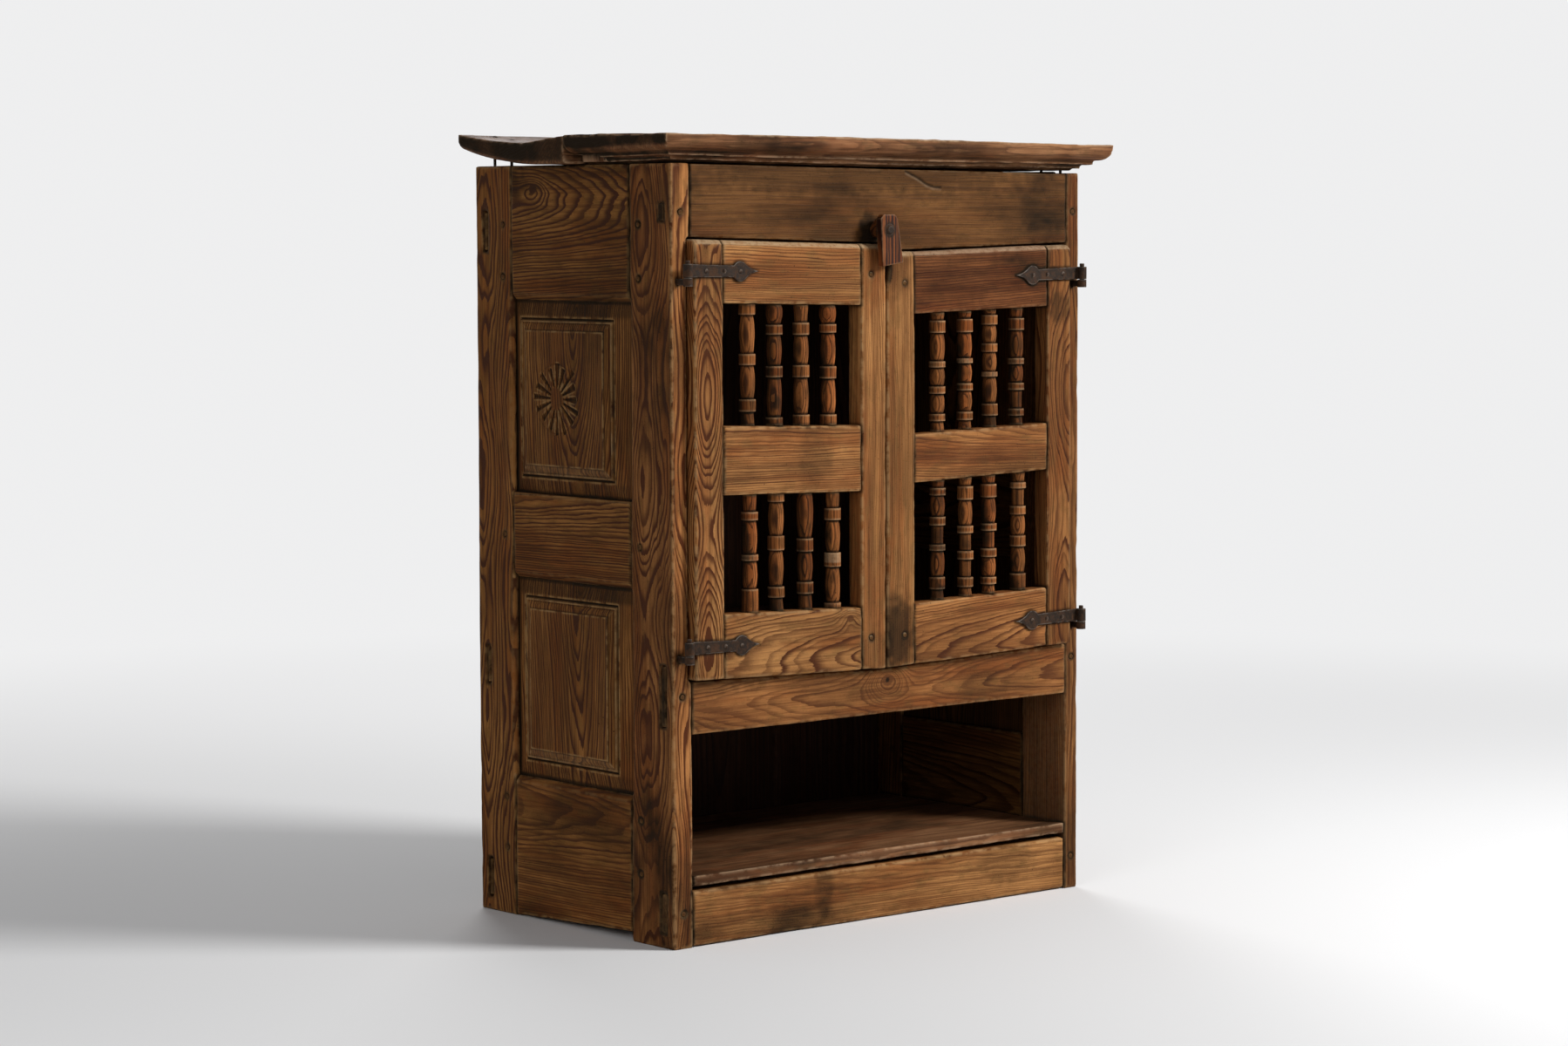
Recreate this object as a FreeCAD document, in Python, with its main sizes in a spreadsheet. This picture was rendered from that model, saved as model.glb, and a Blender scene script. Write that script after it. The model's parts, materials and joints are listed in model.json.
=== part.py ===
import FreeCAD, Part
import os
import Sketcher

# Trastero cabinet: a free-standing cupboard of pegged boards with two spindled doors
# Millimetres; X runs to the right of someone who faces the doors, Y to the back, Z up
# The row's origin is the middle of the whole object's base
# Pieces are drawn with Y = 0 at the posts' front faces, and moved by front_y at the end

SIZES = {
    # posts and overall carcass
    "carcass_width": 805,
    "carcass_depth": 467,
    "left_post_height": 1120,
    "right_post_drop": 11,
    "left_post_width": 35,
    "right_post_width": 27,
    "front_post_depth": 97,
    "rear_post_depth": 89,
    "post_chamfer": 5,
    # framed sides
    "side_thickness": 27,
    "side_tenon_inset": 10,
    "side_tenon_thickness": 9,
    "side_tenon_length": 50,
    "side_tenon_shoulder": 12,
    "side_top_gap": 1.1,
    "side_top_rise": 8.4,
    "side_top_rail_drop": 199,
    "side_mid_rail_share": 0.4545,
    "side_mid_rail_height": 127,
    "left_low_rail_top": 213,
    "right_low_rail_top": 235,
    "low_rail_rear_edge": 2,
    "low_rail_front_edge": 14,
    "rail_chamfer": 9,
    "groove_depth": 9,
    "panel_fit": 0.3,
    "panel_margin": 30,
    "panel_margin_height": 26,
    "panel_bevel_rise": 5,
    "panel_border_width": 18,
    "panel_border_rise": 6,
    "upper_field_shift": 13,
    "lower_field_shift": 7,
    "rosette_radius": 54,
    "rosette_hub": 15,
    "rosette_shift": 17,
    "rosette_cut_depth": 2.5,
    "rosette_cut_wide": 9,
    "rosette_cut_narrow": 3,
    # front rails
    "front_rail_thickness": 36,
    "front_tenon_inset": 17.5,
    "front_tenon_thickness": 12,
    "front_low_rail_edge": 2,
    "front_low_rail_height": 79,
    "front_low_tenon_foot": 20,
    "front_low_tenon_head": 2,
    "front_mid_rail_height": 105,
    "front_mid_tenon_foot": 11,
    "front_mid_tenon_head": 5,
    "floor_level": 412,
    "front_top_rail_drop": 135,
    "front_top_tenon_foot": 53,
    "front_top_tenon_height": 25,
    "rail_top_gap": 1.5,
    # framed back
    "back_rail_thickness": 28,
    "back_rail_inset": 10,
    "back_tenon_thickness": 10,
    "back_tenon_shoulder": 9.5,
    "back_low_rail_edge": 10,
    "back_low_rail_height": 80,
    "back_mid_rail_height": 77,
    "back_top_rail_drop": 137,
    "back_top_tenon_height": 61,
    "plank_gap": 1.5,
    "left_plank_joint": -105,
    "right_plank_joint": 158,
    # boards inside
    "board_fit": 0.5,
    "floor_thickness": 16,
    "shelf_top": 103.5,
    "shelf_thickness": 16.5,
    "cleat_width": 24,
    "cleat_height": 22,
    # top boards
    "top_overhang": 38,
    "top_front_overhang": 37,
    "top_rear_inset": 9,
    "top_thickness": 37,
    "top_seat_gap": 3.6,
    "top_joint": 201,
    "seat_inset": 8,
    "seat_height": 3.2,
    "fascia_overhang": 2,
    "fascia_height": 6,
    "step_overhang": 16,
    "step_height": 6.5,
    "nose_radius": 18,
    "rear_board_step": 4.2,
    "rear_board_thickness": 32,
    "rear_board_front_rise": 9,
    "rear_board_edge": 21.65,
    "rear_board_hollow": 2.5,
    "rear_board_low_line": 299,
    "rear_board_nose": 12,
    "cup_radius": 750,
    "cup_line": 263,
    "top_joint_gap": 0.6,
    # pegs and top nails
    "peg_radius": 4,
    "peg_length": 24,
    "front_peg_length": 34,
    "peg_inset": 21.5,
    "peg_margin": 35,
    "peg_step": 77,
    "top_nail_radius": 2.2,
    "top_nail_head": 5,
    "top_nail_head_height": 2,
    "top_nail_sunk": 0.8,
    "top_nail_grip": 32,
    "top_nail_inset": 27,
    "top_nail_step": 42,
    # doors
    "door_thickness": 30,
    "door_proud": 14,
    "door_gap": 2.5,
    "door_rebate": 6,
    "door_stop_gap": 1,
    "shoulder_gap": 3,
    "meeting_line": -8,
    "meeting_gap": 3,
    "door_sag": 10,
    "door_top_chamfer": 6,
    "door_tenon_thickness": 10,
    "door_tenon_length": 38,
    "door_tenon_shoulder": 8,
    "left_hinge_stile": 52,
    "left_meeting_stile": 47,
    "left_door_drop": 108,
    "left_top_rail": 89.5,
    "left_mid_rail_share": 0.5767,
    "left_mid_rail": 97.5,
    "left_low_rail": 92,
    "door_bottom_drop": 26,
    "right_hinge_stile": 50,
    "right_meeting_stile": 54.5,
    "right_door_drop": 120,
    "right_top_rail": 92.5,
    "right_mid_rail_share": 0.5586,
    "right_mid_rail": 71.5,
    "right_low_rail": 90.5,
    # spindles
    "spindle_neck": 9.2,
    "spindle_swell": 2.2,
    "spindle_end": 10.8,
    "spindle_collar": 12.2,
    "spindle_tenon": 7,
    "spindle_tenon_length": 10,
    # strap hinges
    "hinge_inset": 13.5,
    "strap_thickness": 3,
    "strap_height": 19,
    "strap_neck": 16,
    "strap_fall": 2,
    "eye_radius": 7,
    "pin_fit": 0.05,
    "hinge_gap": 0.5,
    "bulb_reach": 100,
    "bulb_radius": 14.5,
    "tip_reach": 134,
    "tip_root": 9,
    "tip_hollow": 2.5,
    "pintle_height": 12,
    "pin_rise": 5,
    "spike_width": 8,
    "spike_height": 9,
    "spike_depth": 40,
    "upper_strap_drop": 44,
    "left_lower_strap_rise": 47,
    "right_lower_strap_rise": 43,
    "nail_radius": 1.8,
    "nail_head": 4,
    "nail_head_height": 1.6,
    "nail_length": 24,
    "first_nail_reach": 37,
    "second_nail_reach": 70,
    # turn button
    "button_shift": -17,
    "button_drop": 96,
    "button_standoff": 20,
    "button_thickness": 12,
    "button_crown": 22.5,
    "button_crown_left": 17,
    "button_crown_right": 16,
    "button_corner": 6,
    "button_foot_left": 13,
    "button_foot_right": 27,
    "button_drop_left": 54,
    "button_drop_right": 48,
    "shank_front_radius": 15,
    "shank_rear_radius": 11.5,
    "shank_gap": 0.5,
    "shank_tenon_radius": 8,
    "shank_tail": 10,
    "button_nail_head": 9,
    "button_nail_head_height": 3,
    "button_nail_radius": 2.5,
    "button_nail_length": 40,
    "button_pin_radius": 2.2,
    "button_pin_length": 26,
}

ROSETTE_CUTS = 16

# Where each spindle's collars start and end, as shares of its length between the rails
COLLAR_SHARES = {
    "left_upper": (
        ((0.12, 0.22), (0.50, 0.59), (0.91, 1.0)),
        ((0.0, 0.07), (0.40, 0.49), (0.75, 0.83)),
        ((0.0, 0.09), (0.40, 0.50), (0.75, 0.85)),
        ((0.0, 0.09), (0.39, 0.49), (0.77, 0.84)),
    ),
    "left_lower": (
        ((0.0, 0.20), (0.44, 0.49), (0.78, 0.85)),
        ((0.12, 0.21), (0.52, 0.64), (0.93, 1.0)),
        ((0.14, 0.24), (0.50, 0.61)),
        ((0.0, 0.05), (0.36, 0.48), (0.76, 0.86)),
    ),
    "right_upper": (
        ((0.09, 0.15), (0.32, 0.38), (0.54, 0.59), (0.83, 0.93)),
        ((0.08, 0.15), (0.33, 0.39), (0.56, 0.60), (0.82, 0.93)),
        ((0.10, 0.20), (0.43, 0.47), (0.64, 0.71), (0.87, 0.95)),
        ((0.08, 0.14), (0.30, 0.36), (0.52, 0.57), (0.81, 0.91)),
    ),
    "right_lower": (
        ((0.09, 0.19), (0.41, 0.46), (0.62, 0.69), (0.87, 0.93)),
        ((0.08, 0.16), (0.31, 0.38), (0.53, 0.59), (0.81, 0.92)),
        ((0.08, 0.14), (0.31, 0.38), (0.53, 0.59), (0.81, 0.92)),
        ((0.0, 0.14), (0.37, 0.46), (0.64, 0.71), (0.86, 0.91)),
    ),
}

# Where the spindles stand, left to right, as shares of the opening's width
PLACE_SHARES = {
    "left_upper": (0.215, 0.406, 0.601, 0.799),
    "left_lower": (0.227, 0.417, 0.626, 0.829),
    "right_upper": (0.215, 0.419, 0.607, 0.806),
    "right_lower": (0.215, 0.424, 0.598, 0.823),
}

# A length between collars swells into a vase when its share of the spindle is more than this
VASE_LEAST_SHARE = 0.16

doc = FreeCAD.newDocument("trastero_cabinet")
sheet = doc.addObject("Spreadsheet::Sheet", "Sizes")
pieces = {}
depths = {}


class Length:
    """A number together with the sheet expression that gives it."""

    def __init__(self, value, text):
        self.value = value
        self.text = text

    def __add__(self, other):
        return Length(self.value + number(other), f"({self.text} + {words(other)})")

    def __radd__(self, other):
        return Length(number(other) + self.value, f"({words(other)} + {self.text})")

    def __sub__(self, other):
        return Length(self.value - number(other), f"({self.text} - {words(other)})")

    def __rsub__(self, other):
        return Length(number(other) - self.value, f"({words(other)} - {self.text})")

    def __mul__(self, other):
        return Length(self.value * number(other), f"({self.text} * {words(other)})")

    def __rmul__(self, other):
        return Length(number(other) * self.value, f"({words(other)} * {self.text})")

    def __truediv__(self, other):
        return Length(self.value / number(other), f"({self.text} / {words(other)})")

    def __neg__(self):
        return Length(-self.value, f"(0 - {self.text})")


def number(thing):
    """The plain number of a Length or a number."""
    return thing.value if isinstance(thing, Length) else thing


def words(thing):
    """The expression of a Length or a number."""
    return thing.text if isinstance(thing, Length) else repr(float(thing))


def larger(a, b):
    """The larger of two lengths."""
    return Length(max(a.value, b.value), f"max({a.text}; {b.text})")


class Sheet:
    """Every size of the sheet, as a Length under its alias."""

    def __init__(self, sizes):
        for row, (alias, value) in enumerate(sizes.items(), start=1):
            sheet.set(f"A{row}", alias)
            sheet.set(f"B{row}", str(value))
            sheet.setAlias(f"B{row}", alias)
            setattr(self, alias, Length(float(value), f"Sizes.{alias}"))
        doc.recompute()


s = Sheet(SIZES)

# Places that several pieces share
left_face = -s.carcass_width / 2
right_face = s.carcass_width / 2
left_inner = left_face + s.left_post_width
right_inner = right_face - s.right_post_width
rear_post_front = s.carcass_depth - s.rear_post_depth
button_reach = s.button_standoff + s.button_thickness + s.button_nail_head_height
front_y = (larger(button_reach, s.top_front_overhang) - s.carcass_depth) / 2
button_x = s.button_shift
door_back = s.door_thickness - s.door_proud
stop_y = door_back + s.door_stop_gap
hinge_y = -(s.door_proud + s.eye_radius)
back_rail_rear = s.carcass_depth - s.back_rail_inset
back_rail_front = back_rail_rear - s.back_rail_thickness
back_tenon_front = back_rail_front + (s.back_rail_thickness - s.back_tenon_thickness) / 2
back_tenon_rear = back_tenon_front + s.back_tenon_thickness
right_post_height = s.left_post_height - s.right_post_drop

# Heights: the top of the cabinet is measured down from the left posts, the doors' feet from the floor board
side_top = s.left_post_height - s.side_top_gap - s.side_top_rise
side_top_edge = s.left_post_height - s.side_top_rail_drop
side_mid_edge = s.left_post_height * s.side_mid_rail_share
side_mid_top = side_mid_edge + s.side_mid_rail_height
front_low_top = s.front_low_rail_edge + s.front_low_rail_height
front_mid_edge = s.floor_level - s.front_mid_rail_height
front_top_edge = s.left_post_height - s.front_top_rail_drop
back_low_top = s.back_low_rail_edge + s.back_low_rail_height
back_mid_edge = s.floor_level - s.back_mid_rail_height
back_top_edge = s.left_post_height - s.back_top_rail_drop
top_seat = s.left_post_height + s.top_seat_gap
rear_board_seat = top_seat - s.rear_board_step
door_bottom = s.floor_level - s.door_bottom_drop
left_door_top = s.left_post_height - s.left_door_drop
right_door_top = s.left_post_height - s.right_door_drop
left_mid_top = door_bottom + (left_door_top - door_bottom) * s.left_mid_rail_share
right_mid_top = door_bottom + (right_door_top - door_bottom) * s.right_mid_rail_share
button_height = s.left_post_height - s.button_drop
low_line = door_bottom - s.shoulder_gap
left_top_line = left_door_top + s.shoulder_gap
right_top_line = right_door_top + s.shoulder_gap


# Ways to make and join solids

def bind(thing, prop, value):
    """Give a property its value, and tie it to the sheet where the value is a Length."""
    if isinstance(value, Length):
        thing.setExpression(prop, value.text)


def in_order(a, b):
    """Two lengths, the smaller one first."""
    return (a, b) if number(a) <= number(b) else (b, a)


def place(thing, x=0, y=0, z=0):
    depths[thing.Name] = y
    thing.Placement.Base = FreeCAD.Vector(number(x), number(y), number(z))
    bind(thing, "Placement.Base.x", x)
    bind(thing, "Placement.Base.y", y)
    bind(thing, "Placement.Base.z", z)
    return thing


def box(name, xs, ys, zs):
    """A box between two places along each axis."""
    made = doc.addObject("Part::Box", name)
    low = []
    for prop, (a, b) in zip(("Length", "Width", "Height"), (xs, ys, zs)):
        a, b = in_order(a, b)
        bind(made, prop, b - a)
        low.append(a)
    return place(made, *low)


TURNS = {
    "X": FreeCAD.Rotation(FreeCAD.Vector(0, 1, 0), 90),
    "Y": FreeCAD.Rotation(FreeCAD.Vector(1, 0, 0), -90),
    "Z": FreeCAD.Rotation(),
}


def rod(name, axis, start, radius, length, end_radius=None):
    """A cylinder, or a cone with an end_radius, from start along +axis."""
    if end_radius is None:
        made = doc.addObject("Part::Cylinder", name)
        bind(made, "Radius", radius)
    else:
        made = doc.addObject("Part::Cone", name)
        bind(made, "Radius1", radius)
        bind(made, "Radius2", end_radius)
    bind(made, "Height", length)
    made.Placement.Rotation = TURNS[axis]
    return place(made, *start)


def sketch_on(body, name, role, offset):
    """An empty sketch of a body, on one of its origin planes moved along the plane's normal."""
    plane = next(f for f in body.Origin.OriginFeatures if f.Role == role)
    sketch = body.newObject("Sketcher::SketchObject", name)
    sketch.AttachmentSupport = [(plane, "")]
    sketch.MapMode = "FlatFace"
    sketch.AttachmentOffset = FreeCAD.Placement(
        FreeCAD.Vector(0, 0, number(offset)), FreeCAD.Rotation()
    )
    bind(sketch, "AttachmentOffset.Base.z", offset)
    return sketch


def arc_through(start, end, rise):
    """An arc between two points whose middle stands rise to the right of the way there."""
    along = end - start
    side = FreeCAD.Vector(along.y, -along.x, 0).normalize()
    middle = (start + end) / 2 + side * rise
    # drawn anticlockwise both ways, because a sketch numbers an arc's ends so
    return Part.Arc(start, middle, end) if rise > 0 else Part.Arc(end, middle, start)


def draw(sketch, points, bulges=None):
    """A closed outline through points, with an arc on each edge that bulges names."""
    bulges = bulges or {}
    count = len(points)
    spots = [FreeCAD.Vector(number(x), number(y), 0) for x, y in points]
    edges, heads, tails = [], [], []
    for i in range(count):
        start, end = spots[i], spots[(i + 1) % count]
        if i in bulges:
            edges.append(arc_through(start, end, number(bulges[i])))
            heads.append(1 if number(bulges[i]) > 0 else 2)
        else:
            edges.append(Part.LineSegment(start, end))
            heads.append(1)
        tails.append(3 - heads[-1])
    sketch.addGeometry(edges, False)
    rules, ties = [], []
    for i in range(count):
        after = (i + 1) % count
        rules.append(Sketcher.Constraint("Coincident", i, tails[i], after, heads[after]))
    for i, (x, y) in enumerate(points):
        for kind, value in (("DistanceX", x), ("DistanceY", y)):
            rules.append(Sketcher.Constraint(kind, -1, 1, i, heads[i], float(number(value))))
            ties.append((len(rules) - 1, value))
    for i, rise in bulges.items():
        dx = points[(i + 1) % count][0] - points[i][0]
        dy = points[(i + 1) % count][1] - points[i][1]
        radius = ((dx * dx + dy * dy) / 4 + rise * rise) / (rise * 2)
        if number(radius) < 0:
            radius = -radius
        rules.append(Sketcher.Constraint("Radius", i, float(number(radius))))
        ties.append((len(rules) - 1, radius))
    sketch.addConstraint(rules)
    for index, value in ties:
        bind(sketch, f"Constraints[{index}]", value)
    return sketch


PLANES = {"X": "YZ_Plane", "Y": "XZ_Plane", "Z": "XY_Plane"}


def prism(name, axis, points, start, end, bulges=None):
    """A body with one outline, padded from start to end along an axis."""
    body = doc.addObject("PartDesign::Body", name)
    start, end = in_order(start, end)
    offset = -start if axis == "Y" else start
    sketch = sketch_on(body, name + "_outline", PLANES[axis], offset)
    draw(sketch, points, bulges)
    pad = body.newObject("PartDesign::Pad", name + "_pad")
    pad.Profile = sketch
    pad.Reversed = axis == "Y"
    bind(pad, "Length", end - start)
    return body


def round_edges(body, name, edges, radius):
    """Fillet some edges of a body's last feature."""
    last = body.Tip
    fillet = body.newObject("PartDesign::Fillet", name)
    fillet.Base = (last, edges)
    bind(fillet, "Radius", radius)


def rectangle(xs, ys):
    (a, b), (c, d) = xs, ys
    return [(a, c), (b, c), (b, d), (a, d)]


def fuse(name, parts, refine=True):
    if len(parts) == 1:
        return parts[0]
    made = doc.addObject("Part::MultiFuse", name)
    made.Shapes = parts
    made.Refine = refine
    return made


def cut(name, base, tools, refine=True):
    made = doc.addObject("Part::Cut", name)
    made.Base = base
    made.Tool = fuse(name + "_tools", tools)
    made.Refine = refine
    return made


def group(name, parts):
    """Several separate solids held as one object."""
    made = doc.addObject("Part::Compound", name)
    made.Links = parts
    return made


def piece(node, made):
    """Name a finished sub-part and move it to the row's frame."""
    made.Label = node
    bind(made, "Placement.Base.y", front_y + depths.get(made.Name, 0))
    pieces[node] = made
    return made


# Fixings that pass through several pieces: pegs of the frame and nails of the top

def frame_pegs():
    """Round pegs by the post that each goes through."""
    pegs = {"post_front_left": [], "post_front_right": [], "post_rear_left": [], "post_rear_right": []}
    top_low = side_top_edge + s.peg_margin
    mid = (side_mid_edge + side_mid_top) / 2
    low_high = s.left_low_rail_top - s.peg_margin
    levels = (top_low, top_low + s.peg_step, mid, low_high, low_high - s.peg_step)
    for side, face, way in (("left", left_face, 1), ("right", right_face, -1)):
        for end, y in (
            ("front", s.front_post_depth - s.peg_inset),
            ("rear", rear_post_front + s.peg_inset),
        ):
            for i, z in enumerate(levels):
                x = face if way > 0 else face - s.peg_length
                made = rod(f"side_peg_{end}_{side}_{i}", "X", (x, y, z), s.peg_radius, s.peg_length)
                pegs[f"post_{end}_{side}"].append(made)
    for side, x in (
        ("left", left_face + s.left_post_width / 2),
        ("right", right_face - s.right_post_width / 2),
    ):
        for i, (low, high) in enumerate(front_tenon_heights()):
            start = (x, 0, (low + high) / 2)
            made = rod(f"front_peg_{side}_{i}", "Y", start, s.peg_radius, s.front_peg_length)
            pegs[f"post_front_{side}"].append(made)
        for i, (low, high) in enumerate(back_tenon_heights()):
            start = (x, s.carcass_depth - s.front_peg_length, (low + high) / 2)
            made = rod(f"back_peg_{side}_{i}", "Y", start, s.peg_radius, s.front_peg_length)
            pegs[f"post_rear_{side}"].append(made)
    return pegs


def front_tenon_heights():
    """Lowest and highest edge of the low, middle and top front rails' tenons."""
    low = s.front_low_rail_edge + s.front_low_tenon_foot
    low_head = front_low_top - s.front_low_tenon_head
    mid = front_mid_edge + s.front_mid_tenon_foot
    mid_head = s.floor_level - s.front_mid_tenon_head
    top = front_top_edge + s.front_top_tenon_foot
    return (low, low_head), (mid, mid_head), (top, top + s.front_top_tenon_height)


def back_tenon_heights():
    """Lowest and highest edge of the low, middle and top back rails' tenons."""
    edge = s.back_tenon_shoulder
    top = back_top_edge + edge
    return (
        (s.back_low_rail_edge + edge, back_low_top - edge),
        (back_mid_edge + edge, s.floor_level - edge),
        (top, top + s.back_top_tenon_height),
    )


def cup_rise(y):
    """How far the cupped rear board has risen at y above its lowest line."""
    away = y - s.cup_line
    return away * away / (s.cup_radius * 2)


def rear_edge_top():
    """Height of the rear board's upper rear edge over its seat; the edge rises with the cupped underside."""
    return cup_rise(s.carcass_depth - s.top_rear_inset) + s.rear_board_edge


def rear_crown(y):
    """Height of the rear board's hollow top over its seat, behind its lowest line."""
    rear = s.carcass_depth - s.top_rear_inset
    span = rear - s.rear_board_low_line
    middle = (rear + s.rear_board_low_line) / 2
    away = y - middle
    slope = (rear_edge_top() - s.rear_board_thickness) * (y - s.rear_board_low_line) / span
    sunk = s.rear_board_hollow - s.rear_board_hollow * (away * away * 4 / (span * span))
    return s.rear_board_thickness + slope - sunk


def top_nails():
    """Nails through the top boards, by the post that each goes into."""
    nails = {}
    slope_middle = top_seat - s.side_top_rise / 2
    rear_middle = rear_board_seat - s.side_top_rise / 2
    for side, x, lift in (
        ("left", left_face + s.left_post_width / 2, s.side_top_rise / 2),
        ("right", right_face - s.right_post_width / 2, -s.side_top_rise / 2),
    ):
        front = [s.top_nail_inset, s.top_nail_inset + s.top_nail_step]
        rear = [
            s.carcass_depth - s.top_nail_inset - s.top_nail_step,
            s.carcass_depth - s.top_nail_inset,
        ]
        for end, ys in (("front", front), ("rear", rear)):
            for i, y in enumerate(ys):
                if end == "front":
                    crown = slope_middle + lift + s.top_thickness
                else:
                    crown = rear_middle + lift + rear_crown(y)
                name = f"top_nail_{end}_{side}_{i}"
                head_z = crown - s.top_nail_sunk
                foot = right_post_height - s.top_nail_grip
                shank = rod(name + "_shank", "Z", (x, y, foot), s.top_nail_radius, head_z - foot)
                head = rod(
                    name + "_head", "Z", (x, y, head_z), s.top_nail_head, s.top_nail_head_height,
                    s.top_nail_radius,
                )
                nails.setdefault(f"post_{end}_{side}", []).append(fuse(name, [shank, head]))
    return nails


pegs_by_post = frame_pegs()
nails_by_post = top_nails()


# Sides: rails between the posts, with panels in grooves

def side_rails_and_panels(side, face, way, low_top):
    """Rails, panels and their tenons on one side; way points into the cabinet along X."""
    outer = face + way * s.side_tenon_inset
    inner = outer + way * s.side_tenon_thickness
    inside = face + way * s.side_thickness
    front, rear = s.front_post_depth, rear_post_front
    top = side_top + s.side_top_rise if side == "left" else side_top
    rails = {
        "top": (side_top_edge, top),
        "mid": (side_mid_edge, side_mid_top),
        "low": (s.low_rail_front_edge, low_top),
    }
    chamfered = {"top": "under", "mid": "under", "low": "over"}
    grooves = {"top": ("under",), "mid": ("under", "over"), "low": ("over",)}
    tenons = {"front": [], "rear": []}
    for rail, (low, high) in rails.items():
        node = f"side_rail_{rail}_{side}"
        rear_low = s.low_rail_rear_edge if rail == "low" else low
        outline = [(front, low), (rear, rear_low), (rear, high), (front, high)]
        body = prism(node + "_board", "X", outline, face, inside)
        zs = (low + s.side_tenon_shoulder, high - s.side_tenon_shoulder)
        ends = {
            "front": (front - s.side_tenon_length, front),
            "rear": (rear, rear + s.side_tenon_length),
        }
        made = []
        for end, ys in ends.items():
            tenon = box(f"{node}_tenon_{end}", (outer, inner), ys, zs)
            tenons[end].append(tenon)
            made.append(tenon)
        held = (pegs_by_post, nails_by_post) if rail == "top" else (pegs_by_post,)
        tools = [pin for pins in held for end in ends for pin in pins[f"post_{end}_{side}"]]
        for edge in grooves[rail]:
            z = low if edge == "under" else high
            deep = z + s.groove_depth if edge == "under" else z - s.groove_depth
            tools.append(box(f"{node}_groove_{edge}", (outer, inner), (front, rear), (z, deep)))
        z = low if chamfered[rail] == "under" else high
        cham = s.rail_chamfer if chamfered[rail] == "under" else -s.rail_chamfer
        corner = [(face, z), (face + way * s.rail_chamfer, z), (face, z + cham)]
        tools.append(prism(f"{node}_chamfer", "Y", corner, front, rear))
        piece(node, cut(node + "_cut", fuse(node + "_joined", [body] + made), tools))
    side_panel(f"side_panel_upper_{side}", face, way, side_mid_top,
               side_top_edge, s.upper_field_shift, carved=True)
    side_panel(f"side_panel_lower_{side}", face, way, low_top,
               side_mid_edge, s.lower_field_shift, carved=False)
    return tenons


def side_panel(node, face, way, low, high, shift, carved):
    """A raised and fielded panel: tongue in the grooves, bevel, moulded border and field."""
    front, rear = s.front_post_depth, rear_post_front
    tongue = s.groove_depth - s.panel_fit
    outer = face + way * s.side_tenon_inset
    inner = outer + way * (s.side_tenon_thickness - s.panel_fit)
    ys = (front + s.panel_margin + shift, rear - s.panel_margin + shift)
    zs = (low + s.panel_margin_height, high - s.panel_margin_height)
    border_y = (ys[0] + s.panel_border_width, ys[1] - s.panel_border_width)
    border_z = (zs[0] + s.panel_border_width, zs[1] - s.panel_border_width)
    bevel_x = outer - way * s.panel_bevel_rise
    field_x = bevel_x - way * s.panel_border_rise
    body = doc.addObject("PartDesign::Body", node + "_body")
    slab = sketch_on(body, node + "_tongue", "YZ_Plane", in_order(outer, inner)[0])
    draw(slab, rectangle((front - tongue, rear + tongue), (low - tongue, high + tongue)))
    pad = body.newObject("PartDesign::Pad", node + "_slab")
    pad.Profile = slab
    bind(pad, "Length", s.side_tenon_thickness - s.panel_fit)
    rings = (
        ("bevel_foot", rectangle((front, rear), (low, high)), outer),
        ("bevel_crest", rectangle(ys, zs), bevel_x),
        ("border_crest", rectangle(border_y, border_z), field_x),
    )
    drawn = [draw(sketch_on(body, f"{node}_{n}", "YZ_Plane", x), pts) for n, pts, x in rings]
    for name, foot, crest in (("bevel", drawn[0], drawn[1]), ("border", drawn[1], drawn[2])):
        loft = body.newObject("PartDesign::AdditiveLoft", f"{node}_{name}")
        loft.Profile = foot
        loft.Sections = [crest]
        loft.Ruled = True
    if carved:
        carve_rosette(body, node, field_x, way, (ys[0] + ys[1]) / 2 + s.rosette_shift, (low + high) / 2)
    piece(node, body)


def carve_rosette(body, node, field_x, way, y, z):
    """Wedge cuts that ring a plain hub on the panel's field."""
    sketch = sketch_on(body, node + "_petal", "YZ_Plane", field_x)
    bind(sketch, "AttachmentOffset.Base.x", y)
    bind(sketch, "AttachmentOffset.Base.y", z)
    wide, narrow = s.rosette_cut_wide / 2, s.rosette_cut_narrow / 2
    draw(sketch, [
        (s.rosette_hub, -narrow), (s.rosette_radius, -wide),
        (s.rosette_radius, wide), (s.rosette_hub, narrow),
    ])
    petal = body.newObject("PartDesign::Pocket", node + "_cut")
    petal.Profile = sketch
    petal.Reversed = way > 0
    bind(petal, "Length", s.rosette_cut_depth)
    ring = body.newObject("PartDesign::PolarPattern", node + "_ring")
    ring.Originals = [petal]
    ring.Axis = (sketch, ["N_Axis"])
    ring.Angle = 360
    ring.Occurrences = ROSETTE_CUTS
    body.Tip = ring


side_tenons = {
    "left": side_rails_and_panels("left", left_face, 1, s.left_low_rail_top),
    "right": side_rails_and_panels("right", right_face, -1, s.right_low_rail_top),
}


# Front and back rails, which run from post to post with tenons right through them

def door_line(x, line, sign):
    """The height at x of an edge that sags from line at the hinge edge."""
    hinge_edge = left_door_edge if sign > 0 else right_door_edge
    width = (s.meeting_line - hinge_edge) * sign
    return line - s.door_sag * (x - hinge_edge) * sign / width


left_door_edge = left_inner - s.door_rebate + s.door_gap
right_door_edge = right_inner - s.door_gap


def through_tenon(name, ys, zs):
    """A board-wide tenon from one side face to the other."""
    return box(name, (left_face, right_face), ys, zs)


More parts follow.
